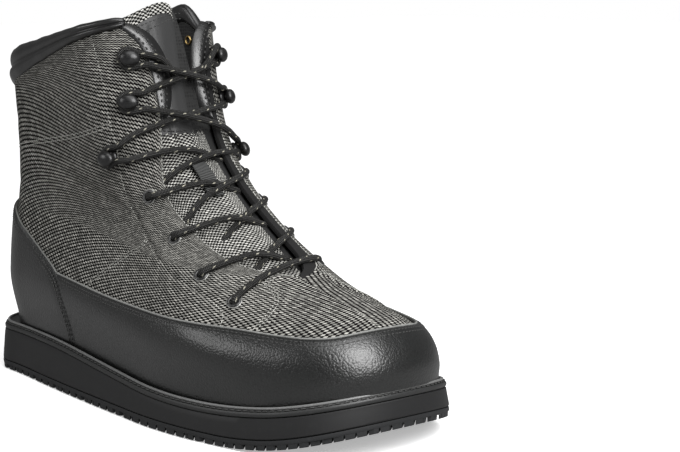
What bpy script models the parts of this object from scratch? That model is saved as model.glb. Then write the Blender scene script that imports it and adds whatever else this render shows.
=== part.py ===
"""Wading boot for the right foot, empty and standing on its sole."""
import math

import bmesh
import bpy
import numpy as np
from mathutils import Vector

# Main sizes in metres
LENGTH = 0.333
BALL_WIDTH = 0.130
HEEL_HEIGHT = 0.0285
BALL_HEIGHT = 0.0195
TOE_SPRING = 0.0140
SHAFT_HEIGHT = 0.209
GAP = 0.0003

# Sole sizes
OUTSOLE_THICK = 0.0050
WELT_THICK = 0.0040
FEATHER_INSET = 0.0085
HEEL_ROUND = 0.095
TOE_ROUND = 0.145
ROUND_POWER = 2.2

# Upper sizes
WALL = 0.0024
OVERLAY_GAP = 0.0006
RAND_THICK = 0.0016
COUNTER_THICK = 0.0021
TONGUE_THICK = 0.0045

BLEND_LOW = 0.12
BLEND_HIGH = 0.50
BULGE = 0.0055

# Sole outline: share of length, lateral half width, medial half width (shares of ball width)
SOLE_PLAN = np.array([
    (0.00, 0.326, 0.330),
    (0.12, 0.338, 0.345),
    (0.25, 0.382, 0.335),
    (0.38, 0.422, 0.332),
    (0.50, 0.452, 0.358),
    (0.62, 0.478, 0.432),
    (0.70, 0.476, 0.488),
    (0.78, 0.456, 0.505),
    (0.88, 0.422, 0.498),
    (1.00, 0.395, 0.467),
])

# Front line of the upper from the toe to the shin: share of length, rise above the sole
# as a share of the shaft, radius of the rounding as a share of ball width
FRONT_LINE = np.array([
    (0.986, 0.000, 0.40),
    (0.985, 0.070, 0.40),
    (0.962, 0.150, 0.39),
    (0.917, 0.220, 0.37),
    (0.845, 0.280, 0.34),
    (0.767, 0.338, 0.31),
    (0.702, 0.412, 0.30),
    (0.635, 0.499, 0.31),
    (0.567, 0.592, 0.33),
    (0.507, 0.702, 0.34),
    (0.472, 0.852, 0.35),
    (0.452, 1.010, 0.35),
    (0.434, 1.160, 0.35),
])

# Back line of the upper: share of length, rise above the sole as a share of the shaft,
# radius of the rounding as a share of ball width
BACK_LINE = np.array([
    (0.039, 0.000, 0.28),
    (0.033, 0.080, 0.28),
    (0.036, 0.200, 0.27),
    (0.044, 0.340, 0.26),
    (0.058, 0.500, 0.26),
    (0.065, 0.640, 0.27),
    (0.065, 0.800, 0.28),
    (0.055, 0.960, 0.29),
    (0.042, 1.160, 0.29),
])

# Shaft half widths: rise share, lateral, medial (shares of ball width)
SHAFT_PLAN = np.array([
    (0.00, 0.300, 0.310),
    (0.30, 0.295, 0.315),
    (0.50, 0.300, 0.305),
    (0.75, 0.330, 0.330),
    (1.00, 0.350, 0.350),
    (1.20, 0.360, 0.360),
])

# Rows of the upper: row number, rise at the back as a share of the shaft, share along the front line,
# half gap of the throat outside and inside as shares of ball width
ROWS = np.array([
    (0, 0.000, 0.000, 0.000, 0.000), (1, 0.045, 0.030, 0.000, 0.000),
    (2, 0.095, 0.062, 0.000, 0.000), (3, 0.145, 0.095, 0.000, 0.000),
    (4, 0.195, 0.130, 0.000, 0.000), (5, 0.245, 0.170, 0.000, 0.000),
    (6, 0.290, 0.215, 0.000, 0.000), (7, 0.335, 0.260, 0.000, 0.000),
    (8, 0.375, 0.305, 0.000, 0.000), (9, 0.410, 0.345, 0.000, 0.000),
    (10, 0.430, 0.368, 0.140, 0.060), (11, 0.455, 0.400, 0.205, 0.095),
    (12, 0.485, 0.440, 0.225, 0.100), (13, 0.520, 0.490, 0.230, 0.095),
    (14, 0.555, 0.540, 0.230, 0.090), (15, 0.590, 0.595, 0.220, 0.090),
    (16, 0.625, 0.650, 0.195, 0.100), (17, 0.660, 0.705, 0.165, 0.115),
    (18, 0.695, 0.760, 0.145, 0.130), (19, 0.735, 0.840, 0.145, 0.145),
    (20, 0.775, 0.925, 0.165, 0.165), (21, 0.820, 0.970, 0.165, 0.165),
    (22, 0.860, 1.000, 0.165, 0.165),
])
THROAT_ROW = 9
TOP_ROW = 20


# Lace holes and hooks from the toe up: share of length and rise share outside, the same inside,
# then 0 for an eyelet or 1 for a hook
LACE_POINTS = np.array([
    (0.744, 0.283, 0.715, 0.357, 0),
    (0.667, 0.345, 0.644, 0.432, 0),
    (0.586, 0.430, 0.582, 0.515, 0),
    (0.512, 0.530, 0.532, 0.588, 0),
    (0.423, 0.625, 0.478, 0.634, 1),
    (0.442, 0.797, 0.442, 0.797, 1),
    (0.432, 0.930, 0.432, 0.930, 1),
])

# Drain holes on the inner side: share of length, rise share
DRAIN_POINTS = np.array([
    (0.367, 0.075), (0.405, 0.075), (0.444, 0.075), (0.482, 0.075),
    (0.367, 0.135), (0.405, 0.135), (0.444, 0.135), (0.482, 0.135),
])

# Top edge of the rand: share of length, rise share
RAND_TOP = np.array([
    (0.200, 0.225), (0.448, 0.216), (0.601, 0.222), (0.706, 0.221), (0.783, 0.213),
    (0.853, 0.193), (0.900, 0.178), (0.930, 0.172), (0.950, 0.176), (1.012, 0.178),
])

# Front edge of the heel counter: rise share, share of length
COUNTER_EDGE = np.array([
    (-0.10, 0.336), (0.00, 0.334), (0.08, 0.329), (0.15, 0.317), (0.22, 0.286),
    (0.28, 0.214), (0.34, 0.147), (0.40, 0.090), (0.44, 0.028), (0.46, -0.029),
])

# Padded collar section: outward from the wall as a share of its thickness, up as a share of its height
COLLAR_SECTION = np.array([
    (-0.30, 0.00), (0.10, 0.00), (0.42, 0.18), (0.44, 0.34), (0.22, 0.50), (0.34, 0.66),
    (0.32, 0.84), (0.05, 1.00), (-0.32, 0.98), (-0.52, 0.76), (-0.54, 0.30),
])
COLLAR_THICK = 0.0062

# Height of the collar along the foot: share of length, height as a share of the shaft
COLLAR_RISE = np.array([
    (0.000, 0.095), (0.162, 0.094), (0.257, 0.066), (0.343, 0.047), (0.448, 0.032),
])

# Half width of the tongue by row number, outside and inside, as shares of ball width
TONGUE_PLAN = np.array([
    (7.4, 0.130, 0.130), (9.0, 0.200, 0.150), (11.0, 0.272, 0.165), (15.0, 0.285, 0.160),
    (17.0, 0.240, 0.185), (21.2, 0.215, 0.215),
])
LACE_RADIUS = 0.0020

# Height of the middle of each lace crossing above the upper, from the toe up
LACE_LIFT = (0.0025, 0.0025, 0.0025, 0.0031, 0.0031, 0.0031)


def table_value(rows, key, column):
    """Smooth value of one table column at each key."""
    keys = rows[:, 0]
    values = rows[:, column]
    slopes = np.gradient(values, keys)
    key = np.clip(key, keys[0], keys[-1])
    place = np.clip(np.searchsorted(keys, key) - 1, 0, len(keys) - 2)
    span = keys[place + 1] - keys[place]
    t = (key - keys[place]) / span
    return ((2 * t**3 - 3 * t**2 + 1) * values[place] + (t**3 - 2 * t**2 + t) * span * slopes[place]
            + (3 * t**2 - 2 * t**3) * values[place + 1] + (t**3 - t**2) * span * slopes[place + 1])


def ease(value):
    """Smooth step from 0 to 1."""
    value = np.clip(value, 0.0, 1.0)
    return value * value * (3 - 2 * value)


def sole_floor(x):
    """Height of the tread: flat, then rising to the toe."""
    share = np.clip((x / LENGTH - 0.76) / 0.24, 0.0, 1.5)
    return TOE_SPRING * share**2


def sole_top(x):
    """Height of the top of the sole, which the upper stands on."""
    drop = ease((x / LENGTH - 0.22) / 0.48)
    share = np.clip((x / LENGTH - 0.72) / 0.28, 0.0, 1.5)
    return HEEL_HEIGHT + (BALL_HEIGHT - HEEL_HEIGHT) * drop + TOE_SPRING * share**2


def centre_line(x):
    """Sideways place of the middle of the foot, which turns in toward the toe."""
    return 0.030 * BALL_WIDTH * ease((x / LENGTH - 0.55) / 0.45)


def curve_points(rows, count):
    """Even points along a profile given as a table, with the rounding radius of each."""
    keys = np.arange(len(rows), dtype=float)
    table = np.column_stack([keys, rows])
    dense = np.linspace(0, len(rows) - 1, 40 * len(rows))
    x = table_value(table, dense, 1) * LENGTH
    rise = table_value(table, dense, 2) * (SHAFT_HEIGHT - HEEL_HEIGHT)
    radius = table_value(table, dense, 3) * BALL_WIDTH
    steps = np.hypot(np.diff(x), np.diff(rise))
    run = np.concatenate([[0.0], np.cumsum(steps)])
    even = np.linspace(0, run[-1], count)
    return np.column_stack([np.interp(even, run, x), np.interp(even, run, rise), np.interp(even, run, radius)])


FRONT = curve_points(FRONT_LINE, 260)
BACK = curve_points(BACK_LINE, 200)


def line_depth(line, x, rise, side):
    """Depth of a point behind a profile line as a share of its rounding radius, from 1 at the line."""
    tangent = np.gradient(line[:, :2], axis=0)
    tangent /= np.linalg.norm(tangent, axis=1)[:, None]
    flat_x, flat_rise = np.ravel(x), np.ravel(rise)
    away_x = flat_x[:, None] - line[None, :, 0]
    away_rise = flat_rise[:, None] - line[None, :, 1]
    near = np.argmin(away_x**2 + away_rise**2, axis=1)
    pick = np.arange(len(near))
    cross = tangent[near, 0] * away_rise[pick, near] - tangent[near, 1] * away_x[pick, near]
    depth = side * cross
    return np.clip(1 - depth / line[near, 2], 0.0, 3.0).reshape(np.shape(x))


def full_width(x, rise, side):
    """Half width of the upper before its front and back are rounded."""
    column = 1 if side < 0 else 2
    low = table_value(SOLE_PLAN, x / LENGTH, column) * BALL_WIDTH - FEATHER_INSET
    low = low + BULGE * ease(rise / 0.034)
    shaft = SHAFT_HEIGHT - HEEL_HEIGHT
    high = table_value(SHAFT_PLAN, rise / shaft, column) * BALL_WIDTH
    mix = ease((rise / shaft - BLEND_LOW) / (BLEND_HIGH - BLEND_LOW))
    return low * (1 - mix) + high * mix


def half_width(x, rise, side):
    """Half width of the upper at a place along the foot and a rise above the sole."""
    front = line_depth(FRONT, x, rise, 1.0)
    back = line_depth(BACK, x, rise, -1.0)
    rest = 1 - front**ROUND_POWER - back**ROUND_POWER
    return full_width(x, rise, side) * np.sign(rest) * np.abs(rest) ** (1 / ROUND_POWER)


def form(point_set):
    """Zero on the outer surface of the upper, below zero inside it."""
    x, y, z = point_set[..., 0], point_set[..., 1], point_set[..., 2]
    rise = z - sole_top(x)
    across = y - centre_line(x)
    wide = np.where(across < 0, full_width(x, rise, -1), full_width(x, rise, 1))
    front = line_depth(FRONT, x, rise, 1.0)
    back = line_depth(BACK, x, rise, -1.0)
    return np.abs(across / wide)**ROUND_POWER + front**ROUND_POWER + back**ROUND_POWER - 1


def outward(point_set):
    """Unit normals of the upper's form at points on it."""
    step = 0.0004
    slopes = []
    for axis in range(3):
        shift = np.zeros(3)
        shift[axis] = step
        slopes.append(form(point_set + shift) - form(point_set - shift))
    normal = np.stack(slopes, axis=-1)
    return normal / np.maximum(np.linalg.norm(normal, axis=-1), 1e-12)[..., None]


def row_rise(number, x):
    """Rise of one row of the upper above the sole, straight from back to front in side view."""
    key = np.array([float(number)])
    back_rise = table_value(ROWS, key, 1)[0] * (SHAFT_HEIGHT - HEEL_HEIGHT)
    front = table_value(ROWS, key, 2)[0] * (len(FRONT) - 1)
    back_x = np.interp(back_rise, BACK[:, 1], BACK[:, 0])
    front_x = np.interp(front, np.arange(len(FRONT)), FRONT[:, 0])
    front_rise = np.interp(front, np.arange(len(FRONT)), FRONT[:, 1])
    share = (x - back_x) / (front_x - back_x)
    return back_rise + (front_rise - back_rise) * share


def row_end(rise_at, side, low, high, gap):
    """Place along the foot where a row narrows to the given half gap, found by closing in."""
    for step in range(6):
        places = np.linspace(low, high, 16)
        wide = half_width(places, rise_at(places), side)
        inside = wide > gap
        last = len(places) - 2 if inside.all() else max(int(np.argmin(inside)) - 1, 0)
        low, high = places[last], places[last + 1]
    return 0.5 * (low + high)


def side_points(rise_at, side, gap, spread):
    """Points of one row on one side, from the heel to the front or the throat."""
    middle = 0.30 * LENGTH
    last = row_end(rise_at, side, middle, 1.05 * LENGTH, gap)
    first = row_end(rise_at, side, middle, -0.02 * LENGTH, 0.0)
    x = first + (last - first) * spread
    rise = rise_at(x)
    wide = np.maximum(half_width(x, rise, side), 0.0)
    wide[0] = 0.0
    wide[-1] = gap
    return np.column_stack([x, centre_line(x) + side * wide, rise + sole_top(x) + GAP])


def form_points(x, rise, side):
    """Points on the outer surface of the upper at places along the foot and rises above the sole."""
    wide = np.maximum(half_width(x, rise, side), 0.0)
    return np.column_stack([x, centre_line(x) + side * wide, rise + sole_top(x) + GAP])


def spread_full(count):
    """Shares from 0 to 1, closer together at both ends."""
    return (1 - np.cos(np.linspace(0, math.pi, count))) / 2


def throat_gap(number, side):
    """Half gap of the throat on one side at a row number."""
    if number <= THROAT_ROW:
        return 0.0
    column = 3 if side < 0 else 4
    return float(table_value(ROWS, np.array([float(number)]), column)[0]) * BALL_WIDTH


def row_points(number, count):
    """One row of the upper from the front outside round the heel to the front inside."""
    spread = spread_full(count)
    outside = side_points(lambda x: row_rise(number, x), -1, throat_gap(number, -1), spread)
    inside = side_points(lambda x: row_rise(number, x), 1, throat_gap(number, 1), spread)
    return np.concatenate([outside[::-1], inside[1:]])


def outline(inset, count):
    """Stations along the sole: place, outside edge and inside edge, moved in by an inset."""
    share = spread_full(count)
    share = 0.0012 + 0.9976 * share
    place = inset + share * (LENGTH - 2 * inset)
    toe = np.clip(1 - (1 - share) / TOE_ROUND, 0.0, 1.0)
    heel = np.clip(1 - share / HEEL_ROUND, 0.0, 1.0)
    rest = (1 - toe**ROUND_POWER - heel**ROUND_POWER) ** (1 / ROUND_POWER)
    outer = (table_value(SOLE_PLAN, share, 1) * BALL_WIDTH - inset) * rest
    inner = (table_value(SOLE_PLAN, share, 2) * BALL_WIDTH - inset) * rest
    return place, centre_line(place) - outer, centre_line(place) + inner


# Build steps
for item in list(bpy.data.objects):
    bpy.data.objects.remove(item, do_unlink=True)

PARTS = bpy.data.collections.new("wading_boot")
CUTTERS = bpy.data.collections.new("cutters")
bpy.context.scene.collection.children.link(PARTS)
bpy.context.scene.collection.children.link(CUTTERS)
SOLE_EDGES = outline(0.0, 60)
SHIFT = Vector((-LENGTH / 2, -float(SOLE_EDGES[1].min() + SOLE_EDGES[2].max()) / 2, 0.0))


def material(name, color, roughness, metallic=0.0):
    """One plain material."""
    made = bpy.data.materials.new(name)
    made.use_nodes = True
    shader = made.node_tree.nodes["Principled BSDF"]
    shader.inputs["Base Color"].default_value = (*color, 1.0)
    shader.inputs["Roughness"].default_value = roughness
    shader.inputs["Metallic"].default_value = metallic
    made.diffuse_color = (*color, 1.0)
    return made


RUBBER = material("sole_rubber", (0.035, 0.036, 0.038), 0.62)
FOAM = material("midsole_foam", (0.028, 0.029, 0.030), 0.55)
WELTING = material("welt_rubber", (0.060, 0.061, 0.062), 0.50)
FABRIC = material("upper_fabric", (0.110, 0.112, 0.105), 0.80)
LEATHER = material("black_leather", (0.030, 0.033, 0.031), 0.45)
PADDING = material("collar_leather", (0.024, 0.024, 0.023), 0.50)
TONGUE_CLOTH = material("tongue_fabric", (0.075, 0.076, 0.072), 0.75)
FOOTBED = material("footbed_foam", (0.050, 0.050, 0.052), 0.85)
WEBBING = material("webbing", (0.055, 0.055, 0.054), 0.80)
LACING = material("lace_cord", (0.020, 0.020, 0.020), 0.70)
EYELET_METAL = material("eyelet_metal", (0.060, 0.060, 0.062), 0.35, 0.9)
DRAIN_METAL = material("drain_metal", (0.620, 0.620, 0.600), 0.30, 1.0)


def add_mesh(name, points, faces, coat, home=None, smooth=True):
    """A mesh object from points and faces, placed with the sole outline centred on the origin."""
    mesh = bpy.data.meshes.new(name)
    mesh.from_pydata([tuple(Vector(tuple(point)) + SHIFT) for point in points], [], faces)
    mesh.validate()
    work = bmesh.new()
    work.from_mesh(mesh)
    bmesh.ops.remove_doubles(work, verts=work.verts, dist=0.00002)
    bmesh.ops.recalc_face_normals(work, faces=work.faces)
    if work.calc_volume(signed=True) < 0:
        bmesh.ops.reverse_faces(work, faces=work.faces)
    work.to_mesh(mesh)
    work.free()
    for face in mesh.polygons:
        face.use_smooth = smooth
    made = bpy.data.objects.new(name, mesh)
    if coat is not None:
        mesh.materials.append(coat)
    (home or PARTS).objects.link(made)
    return made


def add_shell(name, outer, inner, coat, closed_rows=0):
    """A solid sheet between two grids of points. The ends of the first rows may be joined."""
    rows, columns = outer.shape[:2]
    points = np.concatenate([outer.reshape(-1, 3), inner.reshape(-1, 3)])
    back = rows * columns
    faces = []

    def place(row, column):
        return row * columns + column

    for row in range(rows - 1):
        for column in range(columns - 1):
            a, b = place(row, column), place(row, column + 1)
            c, d = place(row + 1, column + 1), place(row + 1, column)
            faces.append((a, b, c, d))
            faces.append((back + d, back + c, back + b, back + a))
    for column in range(columns - 1):
        a, b = place(0, column), place(0, column + 1)
        faces.append((back + a, back + b, b, a))
        a, b = place(rows - 1, column), place(rows - 1, column + 1)
        faces.append((a, b, back + b, back + a))
    for row in range(rows - 1):
        if row < closed_rows:
            continue
        a, b = place(row, 0), place(row + 1, 0)
        faces.append((a, b, back + b, back + a))
        a, b = place(row, columns - 1), place(row + 1, columns - 1)
        faces.append((back + a, back + b, b, a))
    return add_mesh(name, points, faces, coat)


def add_tube(name, rings, coat, closed=False):
    """A solid through rings of points, with flat ends or joined end to end."""
    rings = np.asarray(rings)
    count, around = rings.shape[:2]
    faces = []
    for ring in range(count if closed else count - 1):
        following = (ring + 1) % count
        for step in range(around):
            after = (step + 1) % around
            faces.append((ring * around + step, ring * around + after,
                          following * around + after, following * around + step))
    if not closed:
        faces.append(tuple(range(around))[::-1])
        faces.append(tuple((count - 1) * around + step for step in range(around)))
    return add_mesh(name, rings.reshape(-1, 3), faces, coat)


def add_slab(name, levels, coat, count):
    """A sole layer through levels, each with an inset and a height along the foot."""
    rings = []
    edges = [outline(inset, count) for inset, height in levels]
    for station in range(count):
        ring = []
        for (place, outer, inner), (inset, height) in zip(edges, levels):
            ring.append((place[station], outer[station], height(place[station])))
        for (place, outer, inner), (inset, height) in reversed(list(zip(edges, levels))):
            ring.append((place[station], inner[station], height(place[station])))
        rings.append(ring)
    return add_tube(name, rings, coat)


def add_turned(name, centre, axis, profile, coat, steps, lean=None):
    """A ring or knob turned about an axis from radius and height pairs, leaning as it rises."""
    axis = Vector(tuple(axis)).normalized()
    first = axis.orthogonal().normalized()
    second = axis.cross(first)
    tilt = Vector((0, 0, 0)) if lean is None else Vector(tuple(lean))
    points = []
    for step in range(steps):
        angle = 2 * math.pi * step / steps
        across = first * math.cos(angle) + second * math.sin(angle)
        for radius, height in profile:
            points.append(Vector(tuple(centre)) + across * radius + axis * height + tilt * max(height, 0.0))
    around = len(profile)
    faces = []
    for step in range(steps):
        after = (step + 1) % steps
        for k in range(around):
            faces.append((step * around + k, step * around + (k + 1) % around,
                          after * around + (k + 1) % around, after * around + k))
    return add_mesh(name, points, faces, coat)


# Sole layers
MID_LOW = OUTSOLE_THICK + GAP
outsole = add_slab("outsole", [
    (0.0012, lambda x: sole_floor(x)),
    (0.0000, lambda x: sole_floor(x) + 0.0014),
    (0.0004, lambda x: sole_floor(x) + OUTSOLE_THICK),
], RUBBER, 36)
midsole = add_slab("midsole", [
    (0.0008, lambda x: sole_floor(x) + MID_LOW),
    (0.0026, lambda x: sole_top(x) - WELT_THICK - 0.0030),
    (0.0030, lambda x: sole_top(x) - WELT_THICK - GAP),
], FOAM, 36)
welt = add_slab("welt", [
    (0.0030, lambda x: sole_top(x) - WELT_THICK),
    (0.0020, lambda x: sole_top(x) - 0.6 * WELT_THICK),
    (0.0026, lambda x: sole_top(x) - 0.0006),
    (0.0036, lambda x: sole_top(x)),
], WELTING, 36)

# Upper with its wall
COLUMNS = 20
ROW_STEPS = [0, 1, 2, 3, 4.3, 5.7, 7, 8, 9] + list(range(THROAT_ROW + 1, TOP_ROW + 1))
grid = np.array([row_points(number, COLUMNS) for number in ROW_STEPS])
normals = outward(grid)
normals[0, :, 2] = 0.0
normals[0] /= np.linalg.norm(normals[0], axis=-1)[:, None]
upper = add_shell("upper", grid, grid - normals * WALL, FABRIC, closed_rows=ROW_STEPS.index(THROAT_ROW))

# Insole inside the lowest row of the upper
INSOLE_THICK = 0.0040
foot_line = grid[0] - normals[0] * (WALL + 0.0016)
insole_rings = []
for near in range(1, COLUMNS - 1):
    outer, inner = foot_line[near], foot_line[2 * COLUMNS - 2 - near]
    low_outer, low_inner = float(sole_top(outer[0])) + GAP, float(sole_top(inner[0])) + GAP
    insole_rings.append([
        (outer[0], outer[1], low_outer), (outer[0], outer[1], low_outer + INSOLE_THICK),
        (inner[0], inner[1], low_inner + INSOLE_THICK), (inner[0], inner[1], low_inner),
    ])
insole = add_tube("insole", insole_rings, FOOTBED)


def surface_frame(share, rise_share, side):
    """A point on the upper with its normal and the direction toward the front along it."""
    x = np.array([share * LENGTH])
    rise = np.array([rise_share * (SHAFT_HEIGHT - HEEL_HEIGHT)])
    point = form_points(x, rise, side)
    normal = outward(point)[0]
    ahead = form_points(x + 0.002, rise, side) - point
    ahead = ahead[0] - normal * float(np.dot(ahead[0], normal))
    return point[0], normal, ahead / max(float(np.linalg.norm(ahead)), 1e-9)


# Holes for eyelets and drains
EYELET_PROFILE = [(0.0021, -0.0030), (0.0027, -0.0027), (0.0028, 0.0004), (0.0045, 0.0007),
                  (0.0036, 0.0014), (0.0024, 0.0010)]
DRAIN_PROFILE = [(0.0014, -0.0028), (0.0020, -0.0025), (0.0021, 0.0004), (0.0033, 0.0006),
                 (0.0019, 0.0012)]
HOOK_PROFILE = [(0.0004, 0.0003), (0.0048, 0.0006), (0.0030, 0.0018), (0.0019, 0.0040),
                (0.0042, 0.0048), (0.0036, 0.0066), (0.0003, 0.0072)]


def add_cutter(kept, point, normal, radius):
    """One round cutter through the wall, kept with the others of its kind in one mesh."""
    cutter_points, cutter_faces = kept
    axis = Vector(tuple(normal)).normalized()
    first = axis.orthogonal().normalized()
    second = axis.cross(first)
    start = len(cutter_points)
    steps = 10
    for depth in (-0.0060, 0.0060):
        for step in range(steps):
            angle = 2 * math.pi * step / steps
            spot = Vector(tuple(point)) + axis * depth
            spot += (first * math.cos(angle) + second * math.sin(angle)) * radius
            cutter_points.append(spot)
    for step in range(steps):
        after = (step + 1) % steps
        cutter_faces.append((start + step, start + after, start + steps + after, start + steps + step))
    cutter_faces.append(tuple(start + step for step in range(steps))[::-1])
    cutter_faces.append(tuple(start + steps + step for step in range(steps)))


DRAIN_LIFT = OVERLAY_GAP + RAND_THICK
eyelet_cuts = ([], [])
drain_cuts = ([], [])
lace_spots = {}
for side, word in ((-1, "outer"), (1, "inner")):
    for number, row in enumerate(LACE_POINTS):
        share, rise_share = row[0:2] if side < 0 else row[2:4]
        kind = row[4]
        point, normal, ahead = surface_frame(share, rise_share, side)
        lace_spots[(side, number)] = (point, normal, ahead)
        if kind == 0:
            add_cutter(eyelet_cuts, point, normal, 0.0033)
            add_turned("eyelet_%s_%d" % (word, number + 1), point, normal, EYELET_PROFILE, EYELET_METAL, 8)
        else:
            add_turned("hook_%s_%d" % (word, number - 3), point, normal, HOOK_PROFILE, EYELET_METAL, 8,
                       lean=ahead * 0.35)
for number, (share, rise_share) in enumerate(DRAIN_POINTS):
    point, normal, ahead = surface_frame(share, rise_share, 1)
    add_cutter(drain_cuts, point, normal, 0.0025)
    profile = [(radius, height + DRAIN_LIFT * (height > 0)) for radius, height in DRAIN_PROFILE]
    add_turned("drain_%d" % (number + 1), point, normal, profile, DRAIN_METAL, 8)


def cut_holes(target, kept, name):
    """Cut a kept set of holes through a sheet."""
    cutter = add_mesh(name, kept[0], kept[1], None, CUTTERS, smooth=False)
    cutter.hide_render = True
    cutter.display_type = "WIRE"
    holes = target.modifiers.new(name, "BOOLEAN")
    holes.operation = "DIFFERENCE"
    holes.solver = "EXACT"
    holes.object = cutter


cut_holes(upper, eyelet_cuts, "eyelet_cutter")
cut_holes(upper, drain_cuts, "drain_cutter")

# Rand and heel counter over the lower edge of the upper


def trim(target, outline_points, name):
    """Keep what lies inside a side view outline carried across the whole width."""
    count = len(outline_points)
    points = [(x, -BALL_WIDTH, z) for x, z in outline_points] + [(x, BALL_WIDTH, z) for x, z in outline_points]
    faces = [tuple(range(count)), tuple(range(count, 2 * count))[::-1]]
    for step in range(count):
        after = (step + 1) % count
        faces.append((step, after, count + after, count + step))
    cutter = add_mesh(name, points, faces, None, CUTTERS, smooth=False)
    cutter.hide_render = True
    cutter.display_type = "WIRE"
    keep = target.modifiers.new(name, "BOOLEAN")
    keep.operation = "INTERSECT"
    keep.solver = "EXACT"
    keep.object = cutter


def cover(name, rows, columns, thick):
    """A sheet that lies on part of the upper, with the same rows and columns."""
    piece = grid[rows][:, columns]
    normal = normals[rows][:, columns]
    sheets = [piece + normal * (OVERLAY_GAP + thick), piece + normal * OVERLAY_GAP]
    for sheet in sheets:
        sheet[0, :, 2] = sole_top(sheet[0, :, 0]) + 2 * GAP
    return add_shell(name, sheets[0], sheets[1], LEATHER)


RISE = SHAFT_HEIGHT - HEEL_HEIGHT
low_rises = np.linspace(-0.10, 0.223, 12)
edge_x = table_value(COUNTER_EDGE, low_rises, 1) * LENGTH
seam = [(x + 0.0008, rise * RISE + float(sole_top(x))) for x, rise in zip(edge_x, low_rises)]
top_x = np.linspace(edge_x[-1] + 0.004, 1.05 * LENGTH, 34)
top_rise = table_value(RAND_TOP, top_x / LENGTH, 1) * RISE
rand_outline = seam + [(x, rise + float(sole_top(x))) for x, rise in zip(top_x, top_rise)]
rand_outline.append((1.05 * LENGTH, rand_outline[0][1]))
front_columns = list(range(COLUMNS - 6, -1, -1)) + list(range(2 * COLUMNS - 3, COLUMNS + 4, -1))
rand = cover("rand", slice(0, 7), front_columns, RAND_THICK)
trim(rand, rand_outline, "rand_trim")
cut_holes(rand, drain_cuts, "rand_cutter")

all_rises = np.linspace(-0.10, 0.46, 26)
edge_x = table_value(COUNTER_EDGE, all_rises, 1) * LENGTH
counter_outline = [(x, rise * RISE + float(sole_top(x))) for x, rise in zip(edge_x, all_rises)]
counter_outline += [(-0.10 * LENGTH, counter_outline[-1][1]), (-0.10 * LENGTH, counter_outline[0][1])]
counter = cover("heel_counter", slice(0, 11), list(range(COLUMNS - 11, COLUMNS + 10)), COUNTER_THICK)
trim(counter, counter_outline, "counter_trim")

# Padded collar along the top edge
top_line = row_points(TOP_ROW, 15)
top_normals = outward(top_line)
collar_rings = []
for point, normal in zip(top_line, top_normals):
    flat = np.array([normal[0], normal[1], 0.0])
    flat /= np.linalg.norm(flat)
    tall = table_value(COLLAR_RISE, np.array([point[0] / LENGTH]), 1)[0] * (SHAFT_HEIGHT - HEEL_HEIGHT)
    ring = []
    for out, up in COLLAR_SECTION:
        ring.append(point + flat * out * COLLAR_THICK + np.array([0.0, 0.0, GAP + up * tall]))
    collar_rings.append(ring)
collar = add_tube("collar", collar_rings, PADDING)

# Tongue under the throat
TONGUE_DEPTH = WALL + 0.0018
tongue_grid = []
for number in (7.4, 8.2, 9.0, 10.0, 11.2, 12.6, 14.0, 15.4, 16.8, 18.0, 19.2, 20.2, 21.2):
    line = []
    for share in (-1.0, -0.8, -0.6, -0.4, -0.2, 0.0, 0.33, 0.67, 1.0):
        side = -1 if share < 0 else 1
        column = 1 if share < 0 else 2
        wide = abs(share) * table_value(TONGUE_PLAN, np.array([number]), column)[0] * BALL_WIDTH
        x = row_end(lambda value: row_rise(number, value), side, 0.30 * LENGTH, 1.05 * LENGTH, wide)
        rise = row_rise(number, np.array([x]))[0]
        line.append((x, centre_line(x) + side * wide, rise + sole_top(x) + GAP))
    tongue_grid.append(line)
tongue_grid = np.array(tongue_grid)
normals = outward(tongue_grid)
tongue = add_shell("tongue", tongue_grid - normals * TONGUE_DEPTH,
                   tongue_grid - normals * (TONGUE_DEPTH + TONGUE_THICK), TONGUE_CLOTH)


def strap(name, numbers, half, end, offset, thick, coat):
    """A short strap across the middle of the front or the back of the upper."""
    grid = []
    far = 1.05 * LENGTH if end > 0 else -0.02 * LENGTH
    for number in numbers:
        line = []
        for share in (-1.0, -0.5, 0.0, 0.5, 1.0):
            side = -1 if share < 0 else 1
            wide = abs(share) * half
            x = row_end(lambda value: row_rise(number, value), side, 0.30 * LENGTH, far, wide)
            rise = row_rise(number, np.array([x]))[0]
            line.append((x, centre_line(x) + side * wide, rise + sole_top(x) + GAP))
        grid.append(line)
    grid = np.array(grid)
    normals = outward(grid)
    return add_shell(name, grid + normals * (offset + thick), grid + normals * offset, coat)


lace_keeper = strap("lace_keeper", (16.35, 16.55, 16.75, 16.95), 0.0055, 1, 0.0012 - TONGUE_DEPTH, 0.0012, WEBBING)
pull_loop = strap("pull_loop", (16.6, 17.3, 18.0, 18.7, 19.4), 0.0080, -1, 0.0005, 0.0014, WEBBING)


# Lace crossings over the tongue
def gap_near(point, side):
    """Half gap of the throat on one side at the level of a point."""
    rise = point[2] - sole_top(point[0]) - GAP
    numbers = np.linspace(THROAT_ROW + 1, TOP_ROW, 80)
    miss = [abs(row_rise(number, point[0]) - rise) for number in numbers]
    return throat_gap(numbers[int(np.argmin(miss))], side)


def on_form(points):
    """Points moved along the slope of the form until they lie on it."""
    points = np.array(points, dtype=float)
    for turn in range(12):
        value = form(points)
        step = 0.0004
        slope = np.stack([(form(points + step * axis) - form(points - step * axis)) / (2 * step)
                          for axis in np.eye(3)], axis=-1)
        length = np.maximum(np.linalg.norm(slope, axis=-1), 1e-6)
        move = np.clip(value / length, -0.006, 0.006)
        points = points - slope / length[:, None] * move[:, None]
    return points


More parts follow.
